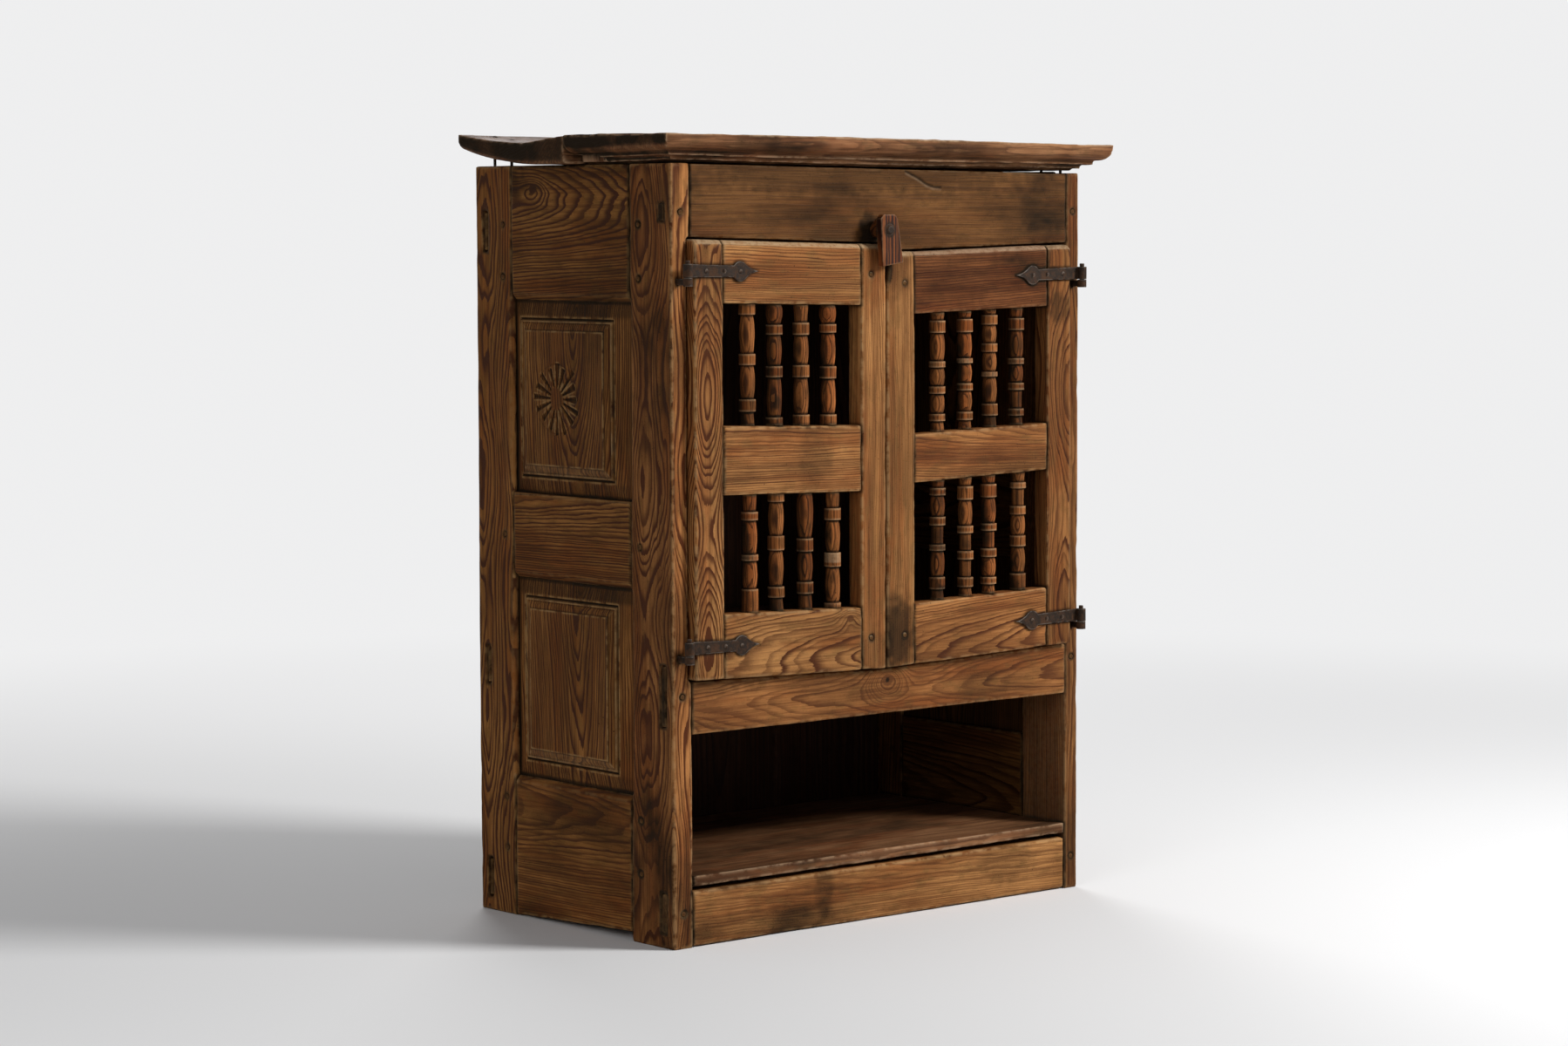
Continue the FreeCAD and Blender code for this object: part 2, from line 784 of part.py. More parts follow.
front_tenon_y = (s.front_tenon_inset, s.front_tenon_inset + s.front_tenon_thickness)
front_tenons = [
    through_tenon(f"front_tenon_{name}", front_tenon_y, zs)
    for name, zs in zip(("low", "mid", "top"), front_tenon_heights())
]
back_tenons = [
    through_tenon(f"back_tenon_{name}", (back_tenon_front, back_tenon_rear), zs)
    for name, zs in zip(("low", "mid", "top"), back_tenon_heights())
]
front_pegs = [p for side in ("left", "right") for p in pegs_by_post[f"post_front_{side}"]]
back_pegs = [p for side in ("left", "right") for p in pegs_by_post[f"post_rear_{side}"]]
between_posts = (left_inner, right_inner)
left_rail_top = s.left_post_height - s.rail_top_gap
right_rail_top = right_post_height - s.rail_top_gap


def front_rails():
    low = box("front_low_board", between_posts, (0, s.front_rail_thickness),
              (s.front_low_rail_edge, front_low_top))
    piece("front_rail_low", cut("front_low_cut", fuse("front_low_joined", [low, front_tenons[0]]),
                                front_pegs))
    middle = s.meeting_line
    lip = (0, stop_y)
    mid_face = [
        (left_inner, front_mid_edge), (right_inner, front_mid_edge),
        (right_inner, door_line(right_inner, low_line, -1)),
        (middle, door_line(middle, low_line, -1)),
        (left_inner, door_line(left_inner, low_line, 1)),
    ]
    mid = prism("front_mid_face", "Y", mid_face, *lip)
    mid_back = box("front_mid_back", between_posts, (stop_y, s.front_rail_thickness),
                   (front_mid_edge, s.floor_level))
    joined = fuse("front_mid_joined", [mid, mid_back, front_tenons[1]])
    piece("front_rail_mid", cut("front_mid_cut", joined, front_pegs))
    top_face = [
        (left_inner, door_line(left_inner, left_top_line, 1)),
        (middle, door_line(middle, left_top_line, 1)),
        (middle, door_line(middle, right_top_line, -1)),
        (right_inner, door_line(right_inner, right_top_line, -1)),
        (right_inner, right_rail_top), (left_inner, left_rail_top),
    ]
    top_back = [
        (left_inner, front_top_edge), (right_inner, front_top_edge),
        (right_inner, right_rail_top), (left_inner, left_rail_top),
    ]
    joined = fuse("front_top_joined", [
        prism("front_top_face", "Y", top_face, *lip),
        prism("front_top_back", "Y", top_back, stop_y, s.front_rail_thickness),
        front_tenons[2],
    ])
    hole = rod("button_hole", "Y", (button_x, 0, button_height),
               s.shank_tenon_radius + s.pin_fit, s.front_rail_thickness)
    piece("front_rail_top", cut("front_top_cut", joined, front_pegs + [hole]))


def back_frame():
    """Back rails, and the upright planks that stand in their grooves."""
    ys = (back_rail_front, back_rail_rear)
    groove_y = (back_tenon_front, back_tenon_rear)
    depth = s.groove_depth
    low = box("back_low_board", between_posts, ys, (s.back_low_rail_edge, back_low_top))
    mid = box("back_mid_board", between_posts, ys, (back_mid_edge, s.floor_level))
    top = prism("back_top_board", "Y", [
        (left_inner, back_top_edge), (right_inner, back_top_edge),
        (right_inner, right_rail_top), (left_inner, left_rail_top),
    ], *ys)
    edges = {
        "low": (low, [(back_low_top - depth, back_low_top)]),
        "mid": (mid, [
            (back_mid_edge, back_mid_edge + depth),
            (s.floor_level - depth, s.floor_level),
        ]),
        "top": (top, [(back_top_edge, back_top_edge + depth)]),
    }
    for (name, (board, grooves)), tenon in zip(edges.items(), back_tenons):
        tools = [
            box(f"back_groove_{name}_{i}", between_posts, groove_y, zs)
            for i, zs in enumerate(grooves)
        ]
        joined = fuse(f"back_{name}_joined", [board, tenon])
        # the groove stops at the posts, so the tenon keeps its full height inside them
        piece(f"back_rail_{name}", cut(f"back_{name}_cut", joined, tools + back_pegs))
    reach = s.groove_depth - s.panel_fit
    plank_y = (back_tenon_front + s.panel_fit / 2, back_tenon_rear - s.panel_fit / 2)
    half_gap = s.plank_gap / 2
    columns = (
        (left_inner - reach, s.left_plank_joint - half_gap),
        (s.left_plank_joint + half_gap, s.right_plank_joint - half_gap),
        (s.right_plank_joint + half_gap, right_inner + reach),
    )
    rows = {
        "lower": (back_low_top - reach, back_mid_edge + reach),
        "upper": (s.floor_level - reach, back_top_edge + reach),
    }
    for name, zs in rows.items():
        planks = [
            box(f"back_plank_{name}_{i}", xs, plank_y, zs) for i, xs in enumerate(columns)
        ]
        piece(f"back_planks_{name}", group(f"back_planks_{name}_group", planks))


front_rails()
back_frame()


# Hinge pintles, which are driven into the posts, and the straps' places

HINGES = {
    "left_upper": (left_door_top - s.upper_strap_drop, 1),
    "left_lower": (door_bottom + s.left_lower_strap_rise, 1),
    "right_upper": (right_door_top - s.upper_strap_drop, -1),
    "right_lower": (door_bottom + s.right_lower_strap_rise, -1),
}


def hinge_x(sign):
    return left_face + s.hinge_inset if sign > 0 else right_face - s.hinge_inset


def pintle_spike(name):
    z, sign = HINGES[name]
    x = hinge_x(sign)
    middle = z - s.strap_height / 2 - s.hinge_gap - s.pintle_height / 2
    return box(
        f"{name}_spike",
        (x - s.spike_width / 2, x + s.spike_width / 2),
        (hinge_y, s.spike_depth),
        (middle - s.spike_height / 2, middle + s.spike_height / 2),
    )


spikes = {name: pintle_spike(name) for name in HINGES}


def pintle(name):
    """An eye on a spike, with the pin that the strap's eye turns on."""
    z, sign = HINGES[name]
    x = hinge_x(sign)
    eye_top = z - s.strap_height / 2 - s.hinge_gap
    eye = rod(f"{name}_lower_eye", "Z", (x, hinge_y, eye_top - s.pintle_height),
              s.eye_radius, s.pintle_height)
    pin_radius = s.eye_radius - s.strap_thickness - s.pin_fit
    pin_length = s.hinge_gap + s.strap_height + s.pin_rise
    pin = rod(f"{name}_pin", "Z", (x, hinge_y, eye_top), pin_radius, pin_length)
    piece(f"pintle_{name}", fuse(f"pintle_{name}_joined", [eye, pin, spikes[name]]))


for hinge_name in HINGES:
    pintle(hinge_name)


# Posts

def post(end, side):
    node = f"post_{end}_{side}"
    left, front = side == "left", end == "front"
    face = left_face if left else right_face
    way = 1 if left else -1
    width = s.left_post_width if left else s.right_post_width
    height = s.left_post_height if left else right_post_height
    inner = face + way * width
    ys = (0, s.front_post_depth) if front else (rear_post_front, s.carcass_depth)
    blank = box(node + "_blank", (face, inner), ys, (0, height))
    low_top = s.left_low_rail_top if left else s.right_low_rail_top
    tools = side_tenons[side][end] + pegs_by_post[node] + nails_by_post[node]
    tools += front_tenons if front else back_tenons
    # groove for the side panels
    edge = ys[1] if front else ys[0]
    deep = edge - s.groove_depth if front else edge + s.groove_depth
    groove_x = (
        face + way * s.side_tenon_inset,
        face + way * (s.side_tenon_inset + s.side_tenon_thickness),
    )
    groove_z = (low_top - s.groove_depth, side_top_edge + s.groove_depth)
    tools.append(box(node + "_groove", groove_x, (deep, edge), groove_z))
    # chamfers that stop level with the panels
    back = -s.post_chamfer if front else s.post_chamfer
    corner = [(face, edge), (face + way * s.post_chamfer, edge), (face, edge + back)]
    for name, low, high in (
        ("lower", low_top, side_mid_edge), ("upper", side_mid_top, side_top_edge),
    ):
        tools.append(prism(f"{node}_chamfer_{name}", "Z", corner, low, high))
    if not front:
        plank_x = (inner, inner - way * s.groove_depth)
        plank_z = (back_low_top - s.groove_depth, back_top_edge + s.groove_depth)
        tools.append(box(node + "_plank_groove", plank_x, (back_tenon_front, back_tenon_rear), plank_z))
    else:
        tools += [spike for name, spike in spikes.items() if name.startswith(side)]
    if front and left:
        rebate_x = (inner, inner - s.door_rebate)
        tools.append(box(node + "_rebate", rebate_x, (0, stop_y),
                         (low_line, left_top_line)))
    piece(node, cut(node + "_cut", blank, tools))


for post_end in ("front", "rear"):
    for post_side in ("left", "right"):
        post(post_end, post_side)
piece("frame_pegs", group("frame_pegs_group", front_pegs + back_pegs))


# Boards inside: cupboard floor, lower shelf and its cleats

def inner_boards():
    xs = (left_inner + s.board_fit, right_inner - s.board_fit)
    rear = back_tenon_front - s.board_fit
    piece("cupboard_floor", box("floor_board", xs, (stop_y + s.board_fit, rear),
                                (s.floor_level, s.floor_level + s.floor_thickness)))
    shelf_low = s.shelf_top - s.shelf_thickness
    piece("lower_shelf", box("shelf_board", xs, (0, back_rail_front - s.board_fit),
                             (shelf_low, s.shelf_top)))
    for side, face, way in (("left", left_face, 1), ("right", right_face, -1)):
        inside = face + way * s.side_thickness
        piece(f"shelf_cleat_{side}", box(
            f"shelf_cleat_{side}_board", (inside, inside + way * s.cleat_width),
            (s.front_post_depth + s.board_fit, rear_post_front - s.board_fit),
            (shelf_low - s.cleat_height, shelf_low),
        ))


inner_boards()


# Top: a moulded front board and a cupped rear board, both a little lower on the right

def tilt(body, seat):
    """Set a top board on its seat, lower at the right by the rise of the left side."""
    slope = s.side_top_rise / s.carcass_width
    body.Placement.Rotation = FreeCAD.Rotation(FreeCAD.Vector(0, 1, 0), number(slope))
    body.setExpression("Placement.Rotation.Angle", f"atan({slope.text})")
    place(body, z=seat - s.side_top_rise / 2)
    return body


def half_width(overhang):
    return s.carcass_width / 2 + overhang


def top_front():
    """Stacked outlines of seat, fascia, step and nose; the nose is rounded underneath."""
    body = doc.addObject("PartDesign::Body", "top_front_body")
    nose_low = s.fascia_height + s.step_height
    front_share = s.top_front_overhang / s.top_overhang
    layers = (
        ("seat", -s.seat_inset, -s.seat_height, 0),
        ("fascia", s.fascia_overhang, 0, s.fascia_height),
        ("step", s.step_overhang, s.fascia_height, nose_low),
        ("nose", s.top_overhang, nose_low, s.top_thickness),
    )
    for name, overhang, low, high in layers:
        sketch = sketch_on(body, f"top_front_{name}", "XY_Plane", low)
        xs = (-half_width(overhang), half_width(overhang))
        draw(sketch, rectangle(xs, (-overhang * front_share, s.top_joint - s.top_joint_gap)))
        pad = body.newObject("PartDesign::Pad", f"top_front_{name}_pad")
        pad.Profile = sketch
        bind(pad, "Length", high - low)
    doc.recompute()
    front_edge = -number(s.top_front_overhang)
    side_edge = number(half_width(s.top_overhang))
    near = number(s.panel_fit)
    names = []
    for i, edge in enumerate(body.Shape.Edges, start=1):
        bounds = edge.BoundBox
        flat = bounds.ZLength < near and abs(bounds.ZMin - number(nose_low)) < near
        at_front = abs(bounds.YMax - front_edge) < near
        at_end = abs(max(abs(bounds.XMin), abs(bounds.XMax)) - side_edge) < near
        along_end = at_end and bounds.XLength < near
        if flat and (at_front or along_end):
            names.append(f"Edge{i}")
    round_edges(body, "top_front_nose_round", names, s.nose_radius)
    return tilt(body, top_seat)


def top_rear():
    """A board bent along a circle, so that its rear edge stands off the posts, with a hollowed top."""
    front = s.top_joint
    rear = s.carcass_depth - s.top_rear_inset
    low_line = s.rear_board_low_line
    points = [
        (front, 0), (s.cup_line, 0), (rear, cup_rise(rear)),
        (rear, rear_edge_top()),
        (low_line, s.rear_board_thickness),
        (front, s.rear_board_thickness + s.rear_board_front_rise),
    ]
    bent = rear - s.cup_line
    sagitta = bent * bent / (s.cup_radius * 8)
    ends = (-half_width(s.top_overhang), half_width(s.top_overhang))
    body = prism("top_rear_body", "X", points, *ends, bulges={1: sagitta, 3: -s.rear_board_hollow})
    doc.recompute()
    side_edge = number(half_width(s.top_overhang))
    near = number(s.panel_fit)
    names = []
    for i, edge in enumerate(body.Shape.Edges, start=1):
        bounds = edge.BoundBox
        along_end = bounds.XLength < near and abs(abs(bounds.XMin) - side_edge) < near
        under = bounds.YLength > near and edge.CenterOfMass.z < number(s.rear_board_thickness) / 2
        if along_end and under:
            names.append(f"Edge{i}")
    round_edges(body, "top_rear_nose_round", names, s.rear_board_nose)
    return tilt(body, rear_board_seat)


front_nails = nails_by_post["post_front_left"] + nails_by_post["post_front_right"]
rear_nails = nails_by_post["post_rear_left"] + nails_by_post["post_rear_right"]
piece("top_board_front", cut("top_front_cut", top_front(), front_nails))
piece("top_board_rear", cut("top_rear_cut", top_rear(), rear_nails))
piece("top_nails", group("top_nails_group", front_nails + rear_nails))


# Doors

def spindle(name, x, low, high, collar_shares):
    """A turned spindle with collars and vases, drawn as half its outline about its own axis."""
    length = high - low
    tenon, end, neck, collar = s.spindle_tenon, s.spindle_end, s.spindle_neck, s.spindle_collar
    points = [(0, -s.spindle_tenon_length), (tenon, -s.spindle_tenon_length), (tenon, 0)]
    bulges = {}
    below = 0
    if collar_shares[0][0] > 0:
        points.append((end, 0))
    for start_share, end_share in collar_shares:
        if start_share > 0:
            if start_share - below > VASE_LEAST_SHARE:
                bulges[len(points) - 1] = s.spindle_swell
            points.append((neck, length * start_share))
        points += [(collar, length * start_share), (collar, length * end_share)]
        if end_share < 1:
            points.append((neck, length * end_share))
        below = end_share
    if below < 1:
        if 1 - below > VASE_LEAST_SHARE:
            bulges[len(points) - 1] = s.spindle_swell
        points.append((end, length))
    points += [
        (tenon, length), (tenon, length + s.spindle_tenon_length),
        (0, length + s.spindle_tenon_length),
    ]
    body = doc.addObject("PartDesign::Body", name)
    sketch = sketch_on(body, name + "_outline", "XZ_Plane", 0)
    draw(sketch, points, bulges)
    turned = body.newObject("PartDesign::Revolution", name + "_turned")
    turned.Profile = sketch
    turned.ReferenceAxis = (sketch, ["V_Axis"])
    turned.Angle = 360
    return place(body, x, door_back - s.door_thickness / 2, low)


def strap_nails(name):
    """Three nails through a strap into the door."""
    z, sign = HINGES[name]
    nails = []
    face = -s.door_proud - s.strap_thickness
    for i, reach in enumerate((s.first_nail_reach, s.second_nail_reach, s.bulb_reach)):
        x = hinge_x(sign) + sign * reach
        nail_z = z - s.strap_fall * reach / s.bulb_reach
        shank = rod(f"{name}_nail_shank_{i}", "Y", (x, face, nail_z), s.nail_radius, s.nail_length)
        head = rod(f"{name}_nail_head_{i}", "Y", (x, face - s.nail_head_height, nail_z),
                   s.nail_head / 2, s.nail_head_height, s.nail_head)
        nails.append(fuse(f"{name}_nail_{i}", [shank, head]))
    return nails


def strap(name, nails):
    """A forged strap: rolled eye, tapering band, round bulb and hollow-sided tip."""
    z, sign = HINGES[name]
    x = hinge_x(sign)
    back = -s.door_proud
    face = back - s.strap_thickness
    bulb_x, tip_x = x + sign * s.bulb_reach, x + sign * s.tip_reach
    bulb_z = z - s.strap_fall
    half, neck = s.strap_height / 2, s.strap_neck / 2
    band = prism(f"{name}_band", "Y", [
        (x, z - half), (bulb_x, bulb_z - neck), (bulb_x, bulb_z + neck), (x, z + half),
    ], face, back)
    bulb = rod(f"{name}_bulb", "Y", (bulb_x, face, bulb_z), s.bulb_radius, s.strap_thickness)
    root_x = bulb_x + sign * s.tip_root
    hollow = {0: -sign * s.tip_hollow, 1: -sign * s.tip_hollow}
    tip = prism(f"{name}_tip", "Y", [
        (root_x, bulb_z - s.tip_root - s.tip_hollow), (tip_x, bulb_z),
        (root_x, bulb_z + s.tip_root + s.tip_hollow),
    ], face, back, bulges=hollow)
    eye = rod(f"{name}_upper_eye", "Z", (x, hinge_y, z - half), s.eye_radius, s.strap_height)
    bore = rod(f"{name}_bore", "Z", (x, hinge_y, z - half),
               s.eye_radius - s.strap_thickness, s.strap_height)
    # faces left unmerged, because merging them breaks the strap on the right
    joined = fuse(f"{name}_strap_joined", [band, bulb, tip, eye], refine=False)
    piece(f"strap_{name}", cut(f"{name}_strap_cut", joined, nails + [bore], refine=False))


def chamfer_top(body, name):
    """Bevel the upper front arris of a board of a door."""
    doc.recompute()
    front, highest = -number(s.door_proud), body.Shape.BoundBox.ZMax
    near, sag = number(s.panel_fit), number(s.door_sag)
    last = body.Tip
    names = []
    for i, edge in enumerate(body.Shape.Edges, start=1):
        bounds = edge.BoundBox
        across = bounds.YLength < near and bounds.XLength > bounds.ZLength
        if across and abs(bounds.YMin - front) < near and bounds.ZMax > highest - sag:
            names.append(f"Edge{i}")
    bevel = body.newObject("PartDesign::Chamfer", name)
    bevel.Base = (last, names)
    bind(bevel, "Size", s.door_top_chamfer)


def door(side, sign, hinge_edge, meeting_edge, stiles, levels):
    """A pegged frame that has sagged a little, with two rows of spindles."""
    hinge_stile, meeting_stile = stiles
    top, top_rail, mid_top, mid_rail, low_rail, bottom = levels
    ys = (-s.door_proud, door_back)
    hinge_in = hinge_edge + sign * hinge_stile
    meeting_in = meeting_edge - sign * meeting_stile
    middle_y = (ys[0] + ys[1]) / 2
    tenon_y = (middle_y - s.door_tenon_thickness / 2, middle_y + s.door_tenon_thickness / 2)

    def edge(x, line):
        return door_line(x, line, sign)

    rails = {
        "top": (top - top_rail, top),
        "mid": (mid_top - mid_rail, mid_top),
        "low": (bottom, bottom + low_rail),
    }
    tenons, pegs = {}, []
    for rail, (low, high) in rails.items():
        tenons[rail] = []
        for end, x, way in (("hinge", hinge_in, -sign), ("meeting", meeting_in, sign)):
            zs = (edge(x, low) + s.door_tenon_shoulder, edge(x, high) - s.door_tenon_shoulder)
            reach = x + way * s.door_tenon_length
            tenons[rail].append(box(f"{side}_{rail}_tenon_{end}", (x, reach), tenon_y, zs))
            if rail != "mid":
                start = (x + way * s.door_tenon_length / 2, ys[0], (zs[0] + zs[1]) / 2)
                pegs.append(rod(f"{side}_{rail}_peg_{end}", "Y", start, s.peg_radius, s.door_thickness))
    nails = {level: strap_nails(f"{side}_{level}") for level in ("upper", "lower")}
    all_nails = nails["upper"] + nails["lower"]
    for name, x0, x1, end in (
        ("hinge", hinge_edge, hinge_in, 0), ("meeting", meeting_in, meeting_edge, 1),
    ):
        outline = [
            (x0, edge(x0, bottom)), (x1, edge(x1, bottom)), (x1, edge(x1, top)), (x0, edge(x0, top)),
        ]
        blank = prism(f"{side}_{name}_stile_board", "Y", outline, *ys)
        chamfer_top(blank, f"{side}_{name}_stile_bevel")
        tools = [tenons[rail][end] for rail in rails] + pegs
        tools += all_nails if name == "hinge" else []
        piece(f"{side}_door_{name}_stile", cut(f"{side}_{name}_stile_cut", blank, tools))
    rows = {"upper": (rails["mid"][1], rails["top"][0]), "lower": (rails["low"][1], rails["mid"][0])}
    spindles = {}
    for row, (low, high) in rows.items():
        left, right = (hinge_in, meeting_in) if sign > 0 else (meeting_in, hinge_in)
        tables = zip(PLACE_SHARES[f"{side}_{row}"], COLLAR_SHARES[f"{side}_{row}"])
        spindles[row] = []
        for i, (place_share, collar_shares) in enumerate(tables):
            x = left + (right - left) * place_share
            spindles[row].append(
                spindle(f"{side}_{row}_spindle_{i}", x, edge(x, low), edge(x, high), collar_shares)
            )
        piece(f"{side}_spindles_{row}", group(f"{side}_{row}_spindle_group", spindles[row]))
    around = {"top": ("upper",), "mid": ("upper", "lower"), "low": ("lower",)}
    for rail, (low, high) in rails.items():
        outline = [
            (hinge_in, edge(hinge_in, low)), (meeting_in, edge(meeting_in, low)),
            (meeting_in, edge(meeting_in, high)), (hinge_in, edge(hinge_in, high)),
        ]
        board = prism(f"{side}_{rail}_rail_board", "Y", outline, *ys)
        if rail == "top":
            chamfer_top(board, f"{side}_top_rail_bevel")
        tools = [turned for row in around[rail] for turned in spindles[row]]
        tools += pegs + all_nails
        joined = fuse(f"{side}_{rail}_rail_joined", [board] + tenons[rail])
        piece(f"{side}_door_{rail}_rail", cut(f"{side}_{rail}_rail_cut", joined, tools))
    for level, held in nails.items():
        strap(f"{side}_{level}", held)
    piece(f"{side}_strap_nails", group(f"{side}_strap_nail_group", all_nails))
    piece(f"{side}_door_pegs", group(f"{side}_door_peg_group", pegs))


door("left", 1, left_door_edge, s.meeting_line - s.meeting_gap / 2,
     (s.left_hinge_stile, s.left_meeting_stile),
     (left_door_top, s.left_top_rail, left_mid_top, s.left_mid_rail,
      s.left_low_rail, door_bottom))
door("right", -1, right_door_edge, s.meeting_line + s.meeting_gap / 2,
     (s.right_hinge_stile, s.right_meeting_stile),
     (right_door_top, s.right_top_rail, right_mid_top, s.right_mid_rail,
      s.right_low_rail, door_bottom))


# Turn button: a wooden bar on a shank that turns in the top rail

def turn_button():
    x, z = button_x, button_height
    back = -s.button_standoff
    face = back - s.button_thickness
    corner = s.button_corner
    outline = [
        (x - s.button_foot_left, z - s.button_drop_left),
        (x + s.button_foot_right, z - s.button_drop_right),
        (x + s.button_crown_right, z + s.button_crown - corner),
        (x + s.button_crown_right - corner, z + s.button_crown),
        (x - s.button_crown_left + corner, z + s.button_crown),
        (x - s.button_crown_left, z + s.button_crown - corner),
    ]
    bar = prism("button_bar_board", "Y", outline, face, back)
    shank = rod("button_neck", "Y", (x, back, z), s.shank_front_radius,
                s.button_standoff - s.shank_gap, s.shank_rear_radius)
    tail = s.front_rail_thickness + s.shank_tail
    tenon = rod("button_tenon", "Y", (x, -s.shank_gap, z), s.shank_tenon_radius, s.shank_gap + tail)
    nail = fuse("button_nail_joined", [
        rod("button_nail_shank", "Y", (x, face, z), s.button_nail_radius, s.button_nail_length),
        rod("button_nail_head", "Y", (x, face - s.button_nail_head_height, z),
            s.button_nail_head / 2, s.button_nail_head_height, s.button_nail_head),
    ])
    pin_y = s.front_rail_thickness + s.button_pin_radius + s.board_fit
    pin = rod("button_pin_rod", "Z", (x, pin_y, z - s.button_pin_length / 2),
              s.button_pin_radius, s.button_pin_length)
    piece("turn_button_bar", cut("button_bar_cut", bar, [nail]))
    piece("turn_button_shank", cut("button_shank_cut", fuse("button_shank_joined", [shank, tenon]),
                                   [nail, pin]))
    piece("turn_button_nail", group("button_nail_group", [nail]))
    piece("turn_button_pin", pin_copy(pin))


def pin_copy(pin):
    """A pin that is also a cutting tool stays where it is, so its piece is a group of one."""
    return group(pin.Name + "_group", [pin])


turn_button()


# Check every object, then write one file for each sub-part

doc.recompute()
bad = [o.Name for o in doc.Objects if {"Invalid", "Error"} & set(o.State)]
for node, made in pieces.items():
    if made.Shape.isNull() or not made.Shape.isValid() or not made.Shape.Solids:
        bad.append(node)
if bad:
    raise SystemExit("failed objects: " + ", ".join(bad))
os.makedirs("parts", exist_ok=True)
whole = FreeCAD.BoundBox()
for node, made in pieces.items():
    made.Shape.exportStep(f"parts/{node}.step")
    whole.add(made.Shape.BoundBox)
print(len(pieces), "sub-parts; X", round(whole.XMin, 2), round(whole.XMax, 2),
      "Y", round(whole.YMin, 2), round(whole.YMax, 2), "Z", round(whole.ZMin, 2), round(whole.ZMax, 2))
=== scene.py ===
"""Looks of an old pine trastero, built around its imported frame.

Boards, pegs and ironwork start as the frame's own solids: each is remeshed, its arrises are rounded and
worn, its faces made a little uneven, and its grain is laid along it. The side panels and the spindles are
made anew in their places. Lengths are in metres, or in millimetres where a comment says so.
"""

import json
import math
from typing import NamedTuple

import bmesh
import bpy
import numpy as np
from mathutils import Euler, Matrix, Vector
from mathutils.bvhtree import BVHTree


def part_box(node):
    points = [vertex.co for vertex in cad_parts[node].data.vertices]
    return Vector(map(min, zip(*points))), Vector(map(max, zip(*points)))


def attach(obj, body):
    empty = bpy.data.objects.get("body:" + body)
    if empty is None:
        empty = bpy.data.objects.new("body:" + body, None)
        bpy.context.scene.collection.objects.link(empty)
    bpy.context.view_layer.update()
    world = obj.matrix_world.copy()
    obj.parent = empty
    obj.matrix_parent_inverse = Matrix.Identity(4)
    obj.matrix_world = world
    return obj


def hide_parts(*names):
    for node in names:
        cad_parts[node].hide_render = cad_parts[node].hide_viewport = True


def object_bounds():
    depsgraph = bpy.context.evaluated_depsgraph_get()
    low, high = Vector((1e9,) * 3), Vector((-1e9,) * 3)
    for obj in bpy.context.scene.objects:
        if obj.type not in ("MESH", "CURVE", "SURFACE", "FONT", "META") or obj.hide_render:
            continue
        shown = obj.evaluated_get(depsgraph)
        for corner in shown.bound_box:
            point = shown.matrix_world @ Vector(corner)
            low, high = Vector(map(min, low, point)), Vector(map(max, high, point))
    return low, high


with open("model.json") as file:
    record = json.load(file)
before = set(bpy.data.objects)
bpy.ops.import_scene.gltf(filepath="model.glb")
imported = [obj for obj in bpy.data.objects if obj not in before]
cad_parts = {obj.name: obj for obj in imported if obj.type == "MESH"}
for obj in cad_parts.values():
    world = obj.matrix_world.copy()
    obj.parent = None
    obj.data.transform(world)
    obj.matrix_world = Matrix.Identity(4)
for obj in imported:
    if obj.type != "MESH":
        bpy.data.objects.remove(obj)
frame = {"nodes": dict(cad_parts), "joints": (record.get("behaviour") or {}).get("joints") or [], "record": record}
cad_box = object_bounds()
BOXES = {node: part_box(node) for node in frame["nodes"]}

MM = 0.001
LATTICE_CELLS = 32
LATTICE = np.random.default_rng(11).random((LATTICE_CELLS,) * 3)


# Numbers on points

def field(points, size, seed):
    """Smooth random numbers from -1 to 1 that vary over about size, one for each point."""
    spots = points / size + seed * 7.31
    cell = np.floor(spots).astype(int)
    t = spots - cell
    t = t * t * (3 - 2 * t)
    total = np.zeros(len(points))
    for corner in np.ndindex(2, 2, 2):
        weight = np.prod(np.where(corner, t, 1 - t), axis=1)
        i, j, k = ((cell + corner) % LATTICE_CELLS).T
        total += weight * LATTICE[i, j, k]
    return total * 2 - 1


def ease(low, high, value):
    """0 at low and beyond, 1 at high and beyond, and smooth in between."""
    t = np.clip((value - low) / (high - low), 0, 1)
    return t * t * (3 - 2 * t)


def read(items, name, wide, kind=float):
    """A property of all items of a mesh, as an array with a row for each."""
    found = np.empty(len(items) * wide, kind)
    items.foreach_get(name, found)
    return found.reshape(-1, wide)


def coordinates(mesh):
    return read(mesh.vertices, "co", 3)


def relaxed(co, pairs, passes):
    """Points drawn halfway towards the mean of their neighbours, a number of times."""
    a, b = pairs.T
    count = len(co)
    degree = np.maximum(np.bincount(a, minlength=count) + np.bincount(b, minlength=count), 1)
    for _ in range(passes):
        mean = np.stack([
            np.bincount(a, co[b, k], count) + np.bincount(b, co[a, k], count) for k in range(3)
        ], axis=1) / degree[:, None]
        co = co + 0.5 * (mean - co)
    return co


def relaxed_number(values, pairs, passes):
    return relaxed(values[:, None].repeat(3, 1), pairs, passes)[:, 0]


def store(mesh, name, values):
    """Keep a number, or a vector, for each vertex."""
    kind = "FLOAT" if values.ndim == 1 else "FLOAT_VECTOR"
    made = mesh.attributes.new(name, kind, "POINT")
    made.data.foreach_set("value" if kind == "FLOAT" else "vector", values.astype(np.float32).ravel())


# Shader graphs

def add(tree, kind, *inputs, out=0, **settings):
    """A node with its first inputs linked or set; gives one of its outputs."""
    made = tree.nodes.new("ShaderNode" + kind)
    for key, value in settings.items():
        setattr(made, key, value)
    for socket, value in zip(made.inputs, inputs):
        if isinstance(value, bpy.types.NodeSocket):
            tree.links.new(value, socket)
        elif value is not None:
            socket.default_value = value
    return made.outputs[out]


